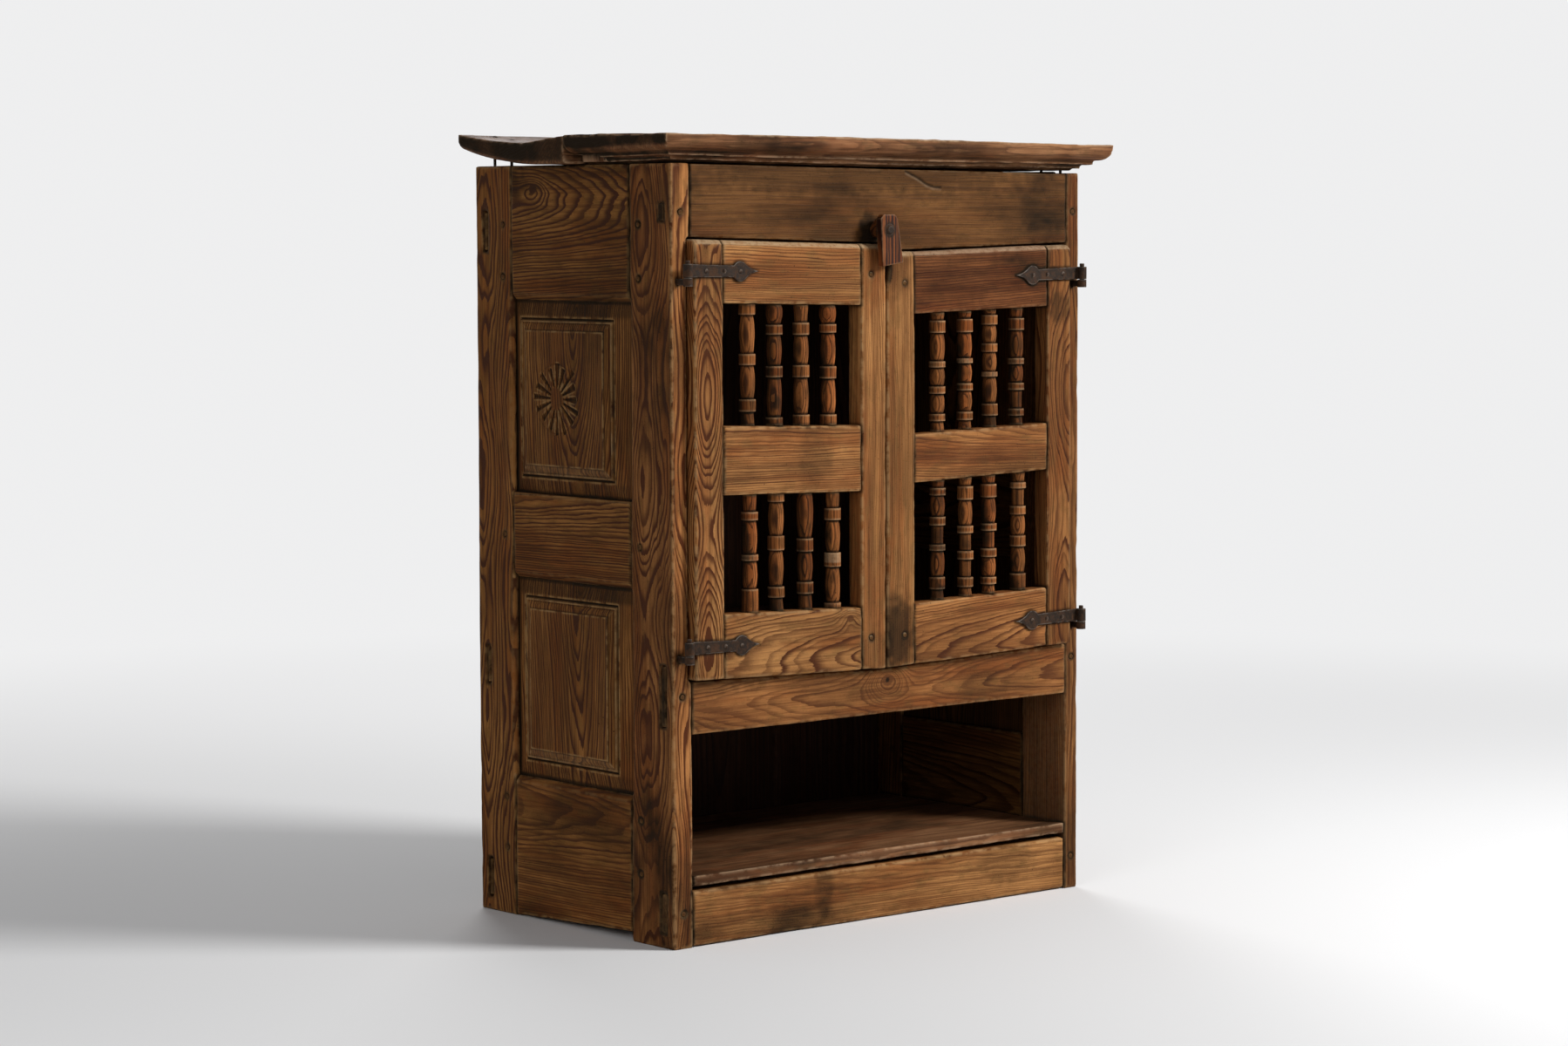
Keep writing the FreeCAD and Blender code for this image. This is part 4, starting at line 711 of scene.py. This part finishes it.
# How each node is worn, and its wood
WOODS = {
    "post_front_left": board(
        AMBER, tone=1.3, pith=(0.012, 0.045), tilt=0.03, bow=0.01, ring=4.4, waver=20, contrast=1.5,
        grime=0.7),
    "post_rear_left": board(
        BROWN, tone=1.25, pith=(0.03, 0.03), tilt=0.025, bow=0.008, ring=5.5, waver=26, contrast=1.7),
    "post_front_right": board(AMBER, tone=0.71, pith=(0.09, 0.06), tilt=0.01, ring=3.4),
    "post_rear_right": board(BROWN, pith=(0.05, 0.06)),
    "side_rail_top_left": board(
        BROWN, tone=0.92, pith=(0.05, 0.03), tilt=0.16, ring=4.8, waver=14, contrast=1.5, grime=0.6,
        knots=((0.065, 0.085, 0.008),)),
    "side_rail_mid_left": board(BROWN, pith=(0.07, 0.05), tilt=0.03, ring=3.2, waver=8, contrast=1.5),
    "side_rail_low_left": board(
        BROWN, tone=1.32, pith=(0.06, 0.06), tilt=0.05, ring=3.6, waver=9, contrast=1.1, grime=0.6,
        holes=1.0),
    "side_rail_top_right": board(BROWN, pith=(0.03, 0.06), tilt=0.1, ring=6),
    "side_rail_mid_right": board(BROWN, tone=0.5, pith=(0.02, 0.05), tilt=0.05),
    "side_rail_low_right": board(BROWN, tone=0.55, pith=(0.0, 0.06), tilt=0.08, ring=6),
    "front_rail_top": board(
        OLIVE, SPLIT, tone=0.94, pith=(0.16, 0.1), tilt=0.01, ring=3, contrast=0.3, grime=0.85, waver=6),
    "front_rail_mid": board(
        AMBER, tone=1.05, pith=(-0.02, 0.05), tilt=0.05, ring=3, contrast=0.8, grime=0.5,
        knots=((-0.003, 0.006, 0.010),)),
    "front_rail_low": board(
        HONEY, tone=0.95, pith=(0.06, 0.08), ring=2.4, waver=8, contrast=0.6, grime=0.6),
    "back_rail_top": board(BROWN, HIDDEN, pith=(0.03, 0.06), tilt=0.03),
    "back_rail_mid": board(BROWN, HIDDEN, pith=(0.05, 0.06)),
    "back_rail_low": board(BROWN, HIDDEN, pith=(0.02, 0.05), tilt=0.04),
    "cupboard_floor": board(SHADED_INSIDE, HIDDEN, pith=(0.1, 0.1)),
    "lower_shelf": board(
        DRY, CHIPPED, tone=0.86, pith=(0.12, 0.06), tilt=0.015, ring=5, grime=0.8, contrast=0.7),
    "shelf_cleat_left": board(SHADED_INSIDE, HIDDEN),
    "shelf_cleat_right": board(SHADED_INSIDE, HIDDEN),
    "top_board_front": board(
        DRY, MOULDED, pith=(0.07, 0.09), ring=3, grime=1.0, contrast=0.7),
    "top_board_rear": board(DRY, tone=0.8, pith=(0.03, 0.12), grime=0.7),
    "left_door_hinge_stile": board(
        HONEY, tone=0.92, pith=(-0.002, 0.022), tilt=0, bow=0.016, ring=4, waver=14, contrast=1.6),
    "left_door_meeting_stile": board(HONEY, pith=(0.10, 0.05), tilt=0.01, ring=3, contrast=0.7),
    "left_door_top_rail": board(HONEY, tone=1.02, pith=(0.085, 0.035), tilt=0.03, ring=3.2, waver=9),
    "left_door_mid_rail": board(
        HONEY, tone=0.97, pith=(0.06, 0.03), tilt=0.03, ring=2.8, waver=9, grime=0.5),
    "left_door_low_rail": board(
        HONEY, tone=0.86, pith=(-0.03, 0.05), tilt=0.07, ring=3.8, waver=14,
        knots=((0.028, 0.108, 0.006),)),
    "right_door_hinge_stile": board(
        AMBER, tone=0.80, pith=(0.02, 0.035), tilt=0.015, bow=0.007, ring=3),
    "right_door_meeting_stile": board(
        HONEY, tone=0.86, pith=(0.12, 0.05), tilt=0.01, ring=3, contrast=0.6),
    "right_door_top_rail": board(
        RED, tone=0.86, pith=(-0.07, 0.035), tilt=0.04, ring=2.8, waver=9, grime=0.8),
    "right_door_mid_rail": board(
        AMBER, pith=(0.05, 0.05), tilt=0.05, ring=3, waver=7, contrast=0.8, grime=0.5),
    "right_door_low_rail": board(
        AMBER, tone=1.1, pith=(-0.03, 0.035), tilt=0.07, ring=3.4, waver=10),
}

# Boards whose end grain shows outside and has darkened
DARK_ENDS = ("top_board", "front_rail", "back_rail")


def make_boards():
    for i, (node, (wear, wood)) in enumerate(WOODS.items(), start=1):
        material = pine("wood_" + node, seed=i, **wood)
        end_grain = 0.92 if node.startswith(DARK_ENDS) else END_GRAIN
        for made in pieces_from(node, wear, [material], seed=i * 5, end_grain=end_grain):
            if node in LOSSES:
                reshape(made, LOSSES[node])


def meeting_gap(co):
    """The doors' meeting edges are worn apart just under the turn button."""
    near = ease(11 * MM, 2 * MM, co[:, 0] - co[:, 0].min())
    high = ease(0.930, 0.975, co[:, 2])
    co[:, 0] += 4.5 * MM * near * high


def lost_strip(co):
    """The moulding's lowest strip is broken off at the back of its left end, and chipped elsewhere."""
    front = co[:, 1].min()
    seat = co[:, 2].min() + 9 * MM
    left_end = co[:, 0] < -404 * MM
    behind = co[:, 1] - front > (183 + 6 * field(co, 11 * MM, 3)) * MM
    low = left_end & behind & (co[:, 2] < seat + 12 * MM)
    co[low, 2] = seat + (12 + 0.8 * field(co[low], 6 * MM, 4)) * MM
    strip = ease(10 * MM, 7 * MM, co[:, 2] - co[:, 2].min()) * (co[:, 1] - front < 45 * MM)
    bite = np.clip(field(co, 26 * MM, 5) - 0.45, 0, 1) * strip
    co[:, 2] += bite * 9 * MM


def upper_end(co):
    return ease(8 * MM, 3 * MM, co[:, 2].max() - co[:, 2])


def packed_up(co):
    """The side rail reaches the underside of the top."""
    co[:, 2] += 1.5 * MM * upper_end(co) * ease(0.11, 0.09, co[:, 1])


def wedged(co):
    """Behind its front edge, the right post reaches the underside of the top."""
    behind = ease(48 * MM, 52 * MM, co[:, 1] - co[:, 1].min())
    co[:, 2] += 3 * MM * upper_end(co) * behind


LOSSES = {
    "right_door_meeting_stile": meeting_gap,
    "top_board_front": lost_strip,
    "side_rail_top_right": packed_up,
    "post_front_right": wedged,
}


# Side panels: heights over a grid, with a bevel, a groove, a moulding, a field and a rosette

# In millimetres: the tongue in the grooves, how far in from the posts' faces the bevel starts, its mean
# width and its height, and the moulding's width
TONGUE = 8.7
PANEL_DEPTH = 10
BEVEL = 30
BEVEL_TALL = 26
MOULDING = 18

# How much wider than its mean the bevel is in front, and how far back the rosette lies
FIELD_SHIFT = {"upper": 13, "lower": 7}
ROSETTE_SHIFT = 17
PETALS = 16

# The groove and the fillet around the moulding: shares of its width, and heights in millimetres
GROOVE_AT = (-0.10, -0.04, 0.10, 0.15, 0.25, 0.32)
GROOVE_HEIGHTS = (0, -3.4, -3.4, 1.4, 1.7, 0.0)

# The size of each panel's grid cells, in millimetres, and its wood
PANELS = {
    "side_panel_upper_left": (1.0, dict(
        tone=0.95, pith=(-0.006, 0.02), tilt=0.2, ring=4.4, waver=14, contrast=1.7, grime=0.5)),
    "side_panel_lower_left": (1.0, dict(
        tone=1.1, pith=(-0.015, 0.025), tilt=0.12, ring=4.6, waver=16, contrast=1.4, holes=1.0)),
    "side_panel_upper_right": (1.8, dict(pith=(0.02, 0.05), tilt=0.06)),
    "side_panel_lower_right": (1.8, dict(tone=0.5, pith=(0.03, 0.04), tilt=0.05)),
}


def near_line(values, place, wide):
    return np.exp(-((values - place) / wide) ** 2)


def blurred(values, passes):
    for _ in range(passes):
        padded = np.pad(values, 1, mode="edge")
        values = (padded[:-2, 1:-1] + padded[2:, 1:-1] + padded[1:-1, :-2] + padded[1:-1, 2:]) / 4
    return values


def mitred(y, z, low, high, wide, tall):
    """How far each point is in from the nearest side of a rectangle, as a share of a border."""
    return np.minimum.reduce([
        (y - low[0]) / wide[0], (high[0] - y) / wide[1], (z - low[1]) / tall, (high[1] - z) / tall,
    ])


def rosette(y, z, random):
    """Depths in millimetres of the cuts around a hub, and of a faint circle through their ends."""
    radius = np.hypot(y, z)
    angle = np.degrees(np.arctan2(z, y))
    depth = np.zeros_like(radius)
    for k in range(PETALS):
        middle = 90 + k * 360 / PETALS + random.uniform(-4, 4)
        inner = 15 + random.uniform(-2, 3)
        outer = 53 + random.uniform(-7, 4)
        wide = random.uniform(4.2, 6.4)
        aside = (angle - middle + 180) % 360 - 180
        share = np.clip((radius - inner) / (outer - inner), 0, 1)
        half = 1.6 + (wide - 1.6) * share
        slope = np.clip(1 - np.abs(np.radians(aside) * radius) / half, 0, 1)
        ends = ease(inner - 2, inner + 3, radius) * ease(outer + 1.5, outer - 1.5, radius)
        depth = np.maximum(depth, np.where(np.abs(aside) < 90, np.sqrt(slope) * ends * 3.0, 0))
    return depth, 0.35 * near_line(radius, 51, 0.8)


def carved_face(y, z, row, way, seed):
    """A panel's heights, its cuts painted dark with shade, shares of bevel and border, and the border's bottom and
    top.
    """
    low = (y.min() + TONGUE, z.min() + TONGUE)
    high = (y.max() - TONGUE, z.max() - TONGUE)
    shift = FIELD_SHIFT[row]
    bevel = mitred(y, z, low, high, (BEVEL + shift, BEVEL - shift), BEVEL_TALL)
    crest_low = (low[0] + BEVEL + shift, low[1] + BEVEL_TALL)
    crest_high = (high[0] - BEVEL + shift, high[1] - BEVEL_TALL)
    border = mitred(y, z, crest_low, crest_high, (MOULDING, MOULDING), MOULDING)
    height = 5 * np.clip(bevel, 0, 1)
    height += np.interp(border, GROOVE_AT, GROOVE_HEIGHTS)
    height += 4.0 * np.sin(np.clip((border - 0.32) / 0.52, 0, 1) * math.pi / 2)
    height += 2.0 * ease(0.90, 0.98, border)
    spots = np.stack([np.full(y.size, way * 0.4), y.ravel() * MM, z.ravel() * MM], axis=1)
    height += (field(spots, 0.12, seed) * 0.5 + field(spots, 0.02, seed + 1) * 0.15).reshape(y.shape)
    dark = np.zeros_like(height)
    if row == "upper":
        middle = (crest_low[0] + crest_high[0]) / 2 + ROSETTE_SHIFT
        centre = (low[1] + high[1]) / 2
        cut, ring = rosette(y - middle, z - centre, np.random.default_rng(seed))
        height -= cut + ring
        # the rosette's cuts and circle are painted dark: painted shade in them
        dark = ease(0.3, 2.2, cut) * 0.66 + ring
    return height, dark, bevel, border, crest_low[1], crest_high[1]


def panel_marks(z, height, dark, bevel, border, bottom, top, near, patchy):
    """How pale at its arrises, how dark and how grey a panel's face is, from 0 to 1: rubbed ridges, painted
    highlights on the fillets, painted shade in the grooves, cuts, at the bevel's foot, under the rail and beside
    other solids, and painted light from below on the lowest moulding.
    """
    relief = height - blurred(height, 14)
    # painted highlights along the fillets
    fillet = near_line(border, 0.20, 0.07) + 0.35 * near_line(border, 1.02, 0.06)
    edge = np.maximum(ease(0.2, 0.7, relief), np.clip(fillet, 0, 1))
    # painted shade in the grooves
    groove = near_line(border, 0.03, 0.10) + 0.65 * near_line(border, 0.90, 0.05)
    groove += 0.5 * near_line(border, 0.33, 0.05)
    # painted shadow on the top bevel under the rail, and painted shade on the bottom bevel
    top_bevel = ease(top - 2, top + 8, z)
    low_bevel = ease(bottom, bottom - 8, z)
    hollow = np.maximum.reduce([
        ease(0.25, 1.0, -relief), dark, 0.97 * groove, 0.6 * top_bevel + 0.3 * low_bevel,
        near, 0.75 * ease(0.30, 0.0, bevel),
    ])
    # painted light from below greys the lowest moulding
    lowest = ease(0.06, 0.0, (z - bottom) / MOULDING - border)
    grey = 0.16 * lowest * ease(0.14, 0.3, border) * ease(1.0, 0.85, border)
    return edge, hollow, 0.32 * fillet * (1 - dark) * patchy + grey


def with_back(verts, faces, shape, inner):
    """A grid's points and faces with sides and a flat back, which lies at one place on X."""
    index = np.arange(len(verts)).reshape(shape)
    rim = np.concatenate([index[:, 0], index[-1, 1:], index[-2::-1, -1], index[0, -2:0:-1]])
    back = verts[rim].copy()
    back[:, 0] = inner
    ring = np.arange(len(rim)) + len(verts)
    sides = np.stack([rim, ring, np.roll(ring, -1), np.roll(rim, -1)], axis=1).tolist()
    return np.concatenate([verts, back]), faces + sides + [ring.tolist()[::-1]]


def make_panel(node, cell, grain, seed):
    row, side = node.split("_")[2:]
    way, outside = (1, 0) if side == "left" else (-1, 1)
    low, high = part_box(node)
    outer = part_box("post_front_" + side)[outside].x + way * PANEL_DEPTH * MM
    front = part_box("post_front_left")[0].y
    ys = np.linspace(low.y, high.y, int((high.y - low.y) / (cell * MM)) + 1)
    zs = np.linspace(low.z, high.z, int((high.z - low.z) / (cell * MM)) + 1)
    y, z = np.meshgrid((ys - front) / MM, zs / MM, indexing="ij")
    face = carved_face(y, z, row, way, seed)
    points = np.stack([outer - way * face[0] * MM, y * MM + front, z * MM], axis=-1)
    verts, faces = grid(points)
    whole, faces = with_back(verts, faces, y.shape, high.x if way > 0 else low.x)
    if way < 0:
        faces = [corners[::-1] for corners in faces]
    middle = [(low.x + high.x) / 2, (low.y + high.y) / 2, (low.z + high.z) / 2]
    marks = {"grain": (whole - middle)[:, [1, 0, 2]]}
    near = shade_near(node, verts, 9.0).reshape(y.shape)
    patchy = 0.6 + 0.7 * field(verts, 30 * MM, seed + 2).reshape(y.shape)
    edge, hollow, pale = panel_marks(z, *face, near, patchy)
    for mark, values, behind in (("edge", edge, 0.0), ("hollow", hollow, 0.4), ("pale", pale, 0.0)):
        unseen = np.full(len(whole) - len(verts), behind)
        marks[mark] = np.clip(np.concatenate([values.ravel(), unseen]), 0, 1)
    material = pine("wood_" + node, BROWN, seed=seed, **grain)
    new_piece("worn_" + node, node, whole, faces, material, marks)


def make_panels():
    for i, (node, (cell, grain)) in enumerate(PANELS.items()):
        make_panel(node, cell, grain, 50 + i)


def closed_up(co):
    """Each plank of the back reaches its neighbours, as coarse remeshing narrows it."""
    low, high = co[:, 0].min(), co[:, 0].max()
    middle = (low + high) / 2
    co[:, 0] = middle + (co[:, 0] - middle) * (1 + 3.8 * MM / ((high - low) / 2))


def make_planks():
    for i, node in enumerate(("back_planks_lower", "back_planks_upper")):
        woods = [
            pine(f"wood_{node}_{k}", SHADED_INSIDE, seed=70 + 3 * i + k, pith=(0.02 * k, 0.05), ring=6)
            for k in range(3)
        ]
        for made in pieces_from(node, HIDDEN, woods, grain="Z", seed=80 + 5 * i):
            reshape(made, closed_up)


# Spindles: each is turned again from its solid's own outline, finer and less regular

# Points on a ring, millimetres between rings, and flats around a shaft
ROUND = 48
STEP = 0.7
FACETS = 8

SPINDLE_TONES = (1.45, 1.2, 1.08, 1.55)

# The collar that is rubbed pale: its piece and its height
PALE_COLLAR = ("worn_left_spindles_lower_3", 0.549)

# The flank turned away from the key light, darkened with painted shade
SHADED_FLANK = np.array((-0.76, 0.65, 0.0))


def turned_outline(mesh):
    """A turned solid's axis, and its outline from foot to head as (height, radius), in metres."""
    co = coordinates(mesh)
    axis = (co[:, :2].min(0) + co[:, :2].max(0)) / 2
    radius = np.hypot(co[:, 0] - axis[0], co[:, 1] - axis[1])
    spots = sorted({(round(z, 5), round(r, 5)) for z, r in zip(co[:, 2], radius) if r > 1 * MM})
    outline = []
    for z in sorted({z for z, _ in spots}):
        level = sorted(r for at, r in spots if at == z)
        if outline and abs(outline[-1][1] - level[-1]) < abs(outline[-1][1] - level[0]):
            level.reverse()
        outline += [(z, level[0])] if len(level) == 1 else [(z, level[0]), (z, level[-1])]
    return axis, np.array(outline)


def profile(outline):
    """Heights and radii at even steps, radii without collars, and the collars' rise in millimetres."""
    run = np.concatenate([[0], np.cumsum(np.hypot(*np.diff(outline, axis=0).T))])
    at = np.linspace(0, run[-1], int(run[-1] / (STEP * MM)) + 1)
    z, r = (np.interp(at, run, outline[:, k]) for k in (0, 1))
    soft = r.copy()
    for _ in range(40):
        soft[1:-1] = (soft[:-2] + soft[2:]) / 2
    rise = (r - soft) / MM
    for values in (z, r):
        values[1:-1] = (values[:-2] + 2 * values[1:-1] + values[2:]) / 4
    return z, r, soft, rise


def make_spindle(node, mesh, name, material, seed):
    axis, outline = turned_outline(mesh)
    z, r, soft, rise = profile(outline)
    turns = np.arange(ROUND) * 2 * math.pi / ROUND
    facet = math.pi / FACETS
    cut = 1 - math.cos(facet) / np.cos((turns + seed) % (2 * facet) - facet)
    on_shaft = ease(11.9 * MM, 11.2 * MM, r)
    wide = r[:, None] * (1 - 0.75 * on_shaft[:, None] * cut[None, :])
    rings = [np.cos(turns) * wide, np.sin(turns) * wide, z[:, None].repeat(ROUND, 1)]
    own = np.stack(rings, axis=-1).reshape(-1, 3)
    world = own + [axis[0], axis[1], 0]
    lump = field(world, 24 * MM, seed) * 0.30 + field(world, 7 * MM, seed + 1) * 0.16
    outward = own * [1, 1, 0]
    outward /= np.maximum(np.linalg.norm(outward, axis=1, keepdims=True), 1e-6)
    lean = np.stack([field(own * [0, 0, 1], 0.11, seed + k) for k in (2, 3)], axis=1)
    moved = world + outward * (lump * MM)[:, None]
    moved[:, :2] += lean * 0.5 * MM
    verts, faces = grid(moved.reshape(len(z), ROUND, 3), closed=True)
    faces += [list(range(ROUND))[::-1], list(range(len(verts) - ROUND, len(verts)))]
    rise, soft, on_shaft = (values.repeat(ROUND) for values in (rise, soft, on_shaft))
    near = shade_near(node, verts, 7.0)
    edge = ease(0.35, 1.0, rise)
    # painted shade in the crevices, the waists, at the joints and on the flank turned from the key light, and
    # grime in mottles
    hollow = np.maximum.reduce([
        ease(0.05, 0.8, -rise) * 0.9,
        ease(10.6 * MM, 8.8 * MM, soft) * (0.55 + 0.3 * field(world, 16 * MM, seed + 4)),
        near * 0.9,
        0.5 * ease(0.0, 0.5, field(world * [1, 1, 0.35], 8 * MM, seed + 5)),
        ease(-0.1, 0.8, outward @ SHADED_FLANK) * (0.66 + 0.3 * field(world, 12 * MM, seed + 6)),
    ])
    # the collars' rims are pale: partly rubbed, partly painted highlight
    pale = edge * 0.3 * (1 - near)
    if name == PALE_COLLAR[0]:
        level = ease(12 * MM, 9 * MM, np.abs(verts[:, 2] - PALE_COLLAR[1]))
        pale += 0.55 * level * (1 - on_shaft)
    marks = {"hollow": np.clip(hollow, 0, 1), "pale": np.clip(pale, 0, 1)}
    marks |= {"edge": edge, "grain": own - [0, 0, (z[0] + z[-1]) / 2]}
    new_piece(name, node, verts, faces, material, marks)


def make_spindles():
    woods = [
        pine(f"wood_spindle_{k}", TURNED, seed=90 + k, tone=tone, pith=(0.03 + 0.004 * k, 0.03), tilt=0,
             ring=2.4, waver=5, grime=0.8, contrast=1.2)
        for k, tone in enumerate(SPINDLE_TONES)
    ]
    for i, node in enumerate(n for n in frame["nodes"] if "spindles" in n):
        for k, mesh in enumerate(loose_parts(node)):
            make_spindle(node, mesh, f"worn_{node}_{k}", woods[(k + i) % len(woods)], 100 + 7 * i + k)


# The turn button

STRIPED = ((0.260, 0.088, 0.024), (0.018, 0.005, 0.003), (0.36, 0.20, 0.10))
POLISH = dict(coat=0.06, gloss=0.08, holes=0)


def high_neck(co):
    """In front of the rail, the neck is taller above the button's axis."""
    pivot = next(j["pos_m"] for j in frame["joints"] if j["name"] == "button_turn")
    shown = ease(pivot[1] - 2 * MM, pivot[1] - 8 * MM, co[:, 1])
    co[:, 2] += 0.4 * shown * np.maximum(co[:, 2] - pivot[2], 0)


def make_button():
    bar = pine("wood_button", STRIPED, seed=120, tone=0.8, pith=(0.09, 0.015), tilt=0, ring=6.8, waver=2,
               contrast=1.8, **POLISH)
    neck = pine("wood_neck", STRIPED, seed=121, tone=0.45, pith=(0.01, 0.02), ring=3, **POLISH)
    pieces_from("turn_button_bar", SMALL, [bar], grain="Z", seed=121, end_grain=0.2)
    for made in pieces_from("turn_button_shank", SMALL, [neck], grain="Y", seed=122):
        reshape(made, high_neck)


# Ironwork and pegs

# In millimetres: how far a strap reaches from its hinge, where its tip starts, and the pins' height
STRAP_REACH = 134
TIP_FROM = 112
PIN_LENGTH = 24.5

HINGES = {j["child"]: j["pos_m"] for j in frame["joints"] if "hinge" in j["name"]}


def stretch_tip(co, hinge):
    """Draw a strap's thin tip out again to its full length, which remeshing shortens."""
    way = 1 if hinge[0] < 0 else -1
    reach = (co[:, 0] - hinge[0]) * way / MM
    growth = (STRAP_REACH - TIP_FROM) / (reach.max() - TIP_FROM)
    longer = np.where(reach > TIP_FROM, TIP_FROM + (reach - TIP_FROM) * growth, reach)
    co[:, 0] += (longer - reach) * MM * way


def leave_room(co, node, hinge):
    """Thin a pintle's pin, widen a strap's eye and part their faces, so that the door turns freely."""
    pintle = "pintle_" + node.split("_", 1)[1]
    seat = BOXES[pintle][1].z - PIN_LENGTH * MM
    axis = np.array(hinge[:2])
    out = co[:, :2] - axis
    radius = np.hypot(*out.T) / MM
    if node == pintle:
        pin = (radius < 4.6) & (co[:, 2] > seat + 0.2 * MM)
        co[pin, :2] = axis + 0.86 * out[pin]
        eye = (radius < 10) & ~pin
        co[eye, 2] = np.minimum(co[eye, 2], seat)
    else:
        bore = radius < 5.4
        co[bore, :2] = axis + 1.1 * out[bore]
        eye = radius < 10
        co[eye, 2] = np.maximum(co[eye, 2], seat + 0.3 * MM)


def make_iron():
    metal = iron()
    for i, node in enumerate(frame["nodes"]):
        if slot_of(node) != "iron":
            continue
        wear = NAIL if "nail" in node else FORGED
        for made in pieces_from(node, wear, [metal], seed=130 + i, end_grain=0):
            if node.startswith("strap_"):
                reshape(made, lambda co: stretch_tip(co, HINGES[body_of(node)]))
            if node.startswith(("strap_", "pintle_")):
                reshape(made, lambda co: leave_room(co, node, HINGES[node.split("_")[1] + "_door"]))


def make_pegs():
    wood = pine("wood_pegs", BROWN, seed=140, tone=0.7, pith=(0.004, 0.003), tilt=0, ring=1.5, grime=0.7,
                holes=0)
    for i, node in enumerate(("frame_pegs", "left_door_pegs", "right_door_pegs", "turn_button_pin")):
        pieces_from(node, PEG, [wood], seed=150 + i, end_grain=0.25)


# Floor, light and camera

BACKGROUND = (0.86, 0.86, 0.865, 1)
SKY_LIGHT = (0.16, 0.16, 0.165, 1)

# The camera, fitted to the cabinet's corners in the photograph: its focal length and picture width in
# pixels, its place from the front posts' faces, and its pitch, roll and yaw in degrees
FOCAL_LENGTH = 4445
PHOTO_WIDTH = 1799
CAMERA_PLACE = (-3.8207, -4.2622, 1.0417)
CAMERA_TURNS = (90 - 4.503, 0.175, -40.386)


def seen_directly(tree):
    """1 for rays from the camera, mirrors and glass, else 0."""
    path = tree.nodes.new("ShaderNodeLightPath")
    glossy = calc(tree, "MAXIMUM", path.outputs["Is Camera Ray"], path.outputs["Is Glossy Ray"])
    return calc(tree, "MAXIMUM", glossy, path.outputs["Is Transmission Ray"])


def make_stage():
    """A pale floor that keeps the shadow and passes into an even pale background."""
    bpy.ops.mesh.primitive_circle_add(vertices=96, radius=60, fill_type="NGON")
    floor = bpy.context.object
    floor.name = "studio_floor"
    material, tree, shader = new_material("studio_floor")
    shader.inputs["Base Color"].default_value = (0.80, 0.80, 0.80, 1)
    shader.inputs["Roughness"].default_value = 0.9
    shader.inputs["Specular IOR Level"].default_value = 0.1
    away = vector(tree, "LENGTH", add(tree, "NewGeometry"), out=1)
    far = times(tree, span(tree, away, 1.0, 4.0), seen_directly(tree))
    blend = add(tree, "MixShader", far, shader.outputs[0], add(tree, "Emission", BACKGROUND))
    tree.links.new(blend, tree.nodes["Material Output"].inputs["Surface"])
    floor.data.materials.append(material)
    world = bpy.data.worlds.new("studio")
    bpy.context.scene.world = world
    world.use_nodes = True
    tree = world.node_tree
    sky = mix(tree, seen_directly(tree), SKY_LIGHT, BACKGROUND)
    tree.links.new(sky, tree.nodes["Background"].inputs["Color"])


def area_light(name, place, target, size, power):
    lamp = bpy.data.lights.new(name, "AREA")
    lamp.shape = "DISK"
    lamp.size = size
    lamp.energy = power
    made = new_object(name, lamp)
    made.location = place
    made.rotation_euler = (Vector(target) - Vector(place)).to_track_quat("-Z", "Y").to_euler()


def make_lights():
    area_light("key", (2.2, -2.9, 2.7), (0, -0.1, 0.55), 1.3, 195)
    area_light("fill", (-3.3, -1.6, 1.7), (0, 0, 0.6), 2.0, 27)
    area_light("back", (1.6, 3.0, 2.6), (0, 0, 0.8), 1.8, 60)


def make_camera():
    lens = bpy.data.cameras.new("camera")
    lens.sensor_width = 36
    lens.lens = FOCAL_LENGTH / PHOTO_WIDTH * lens.sensor_width
    camera = new_object("camera", lens)
    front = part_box("post_front_left")[0].y
    camera.location = (CAMERA_PLACE[0], front + CAMERA_PLACE[1], CAMERA_PLACE[2])
    camera.rotation_mode = "XYZ"
    pitch, roll, yaw = (math.radians(turn) for turn in CAMERA_TURNS)
    turned = Euler((pitch, 0, yaw), "XYZ").to_matrix() @ Euler((0, 0, -roll), "XYZ").to_matrix()
    camera.rotation_euler = turned.to_euler("XYZ")
    bpy.context.scene.camera = camera


make_boards()
make_panels()
make_planks()
make_spindles()
make_button()
make_iron()
make_pegs()
make_stage()
make_lights()
make_camera()
bpy.context.scene.view_settings.view_transform = "Standard"
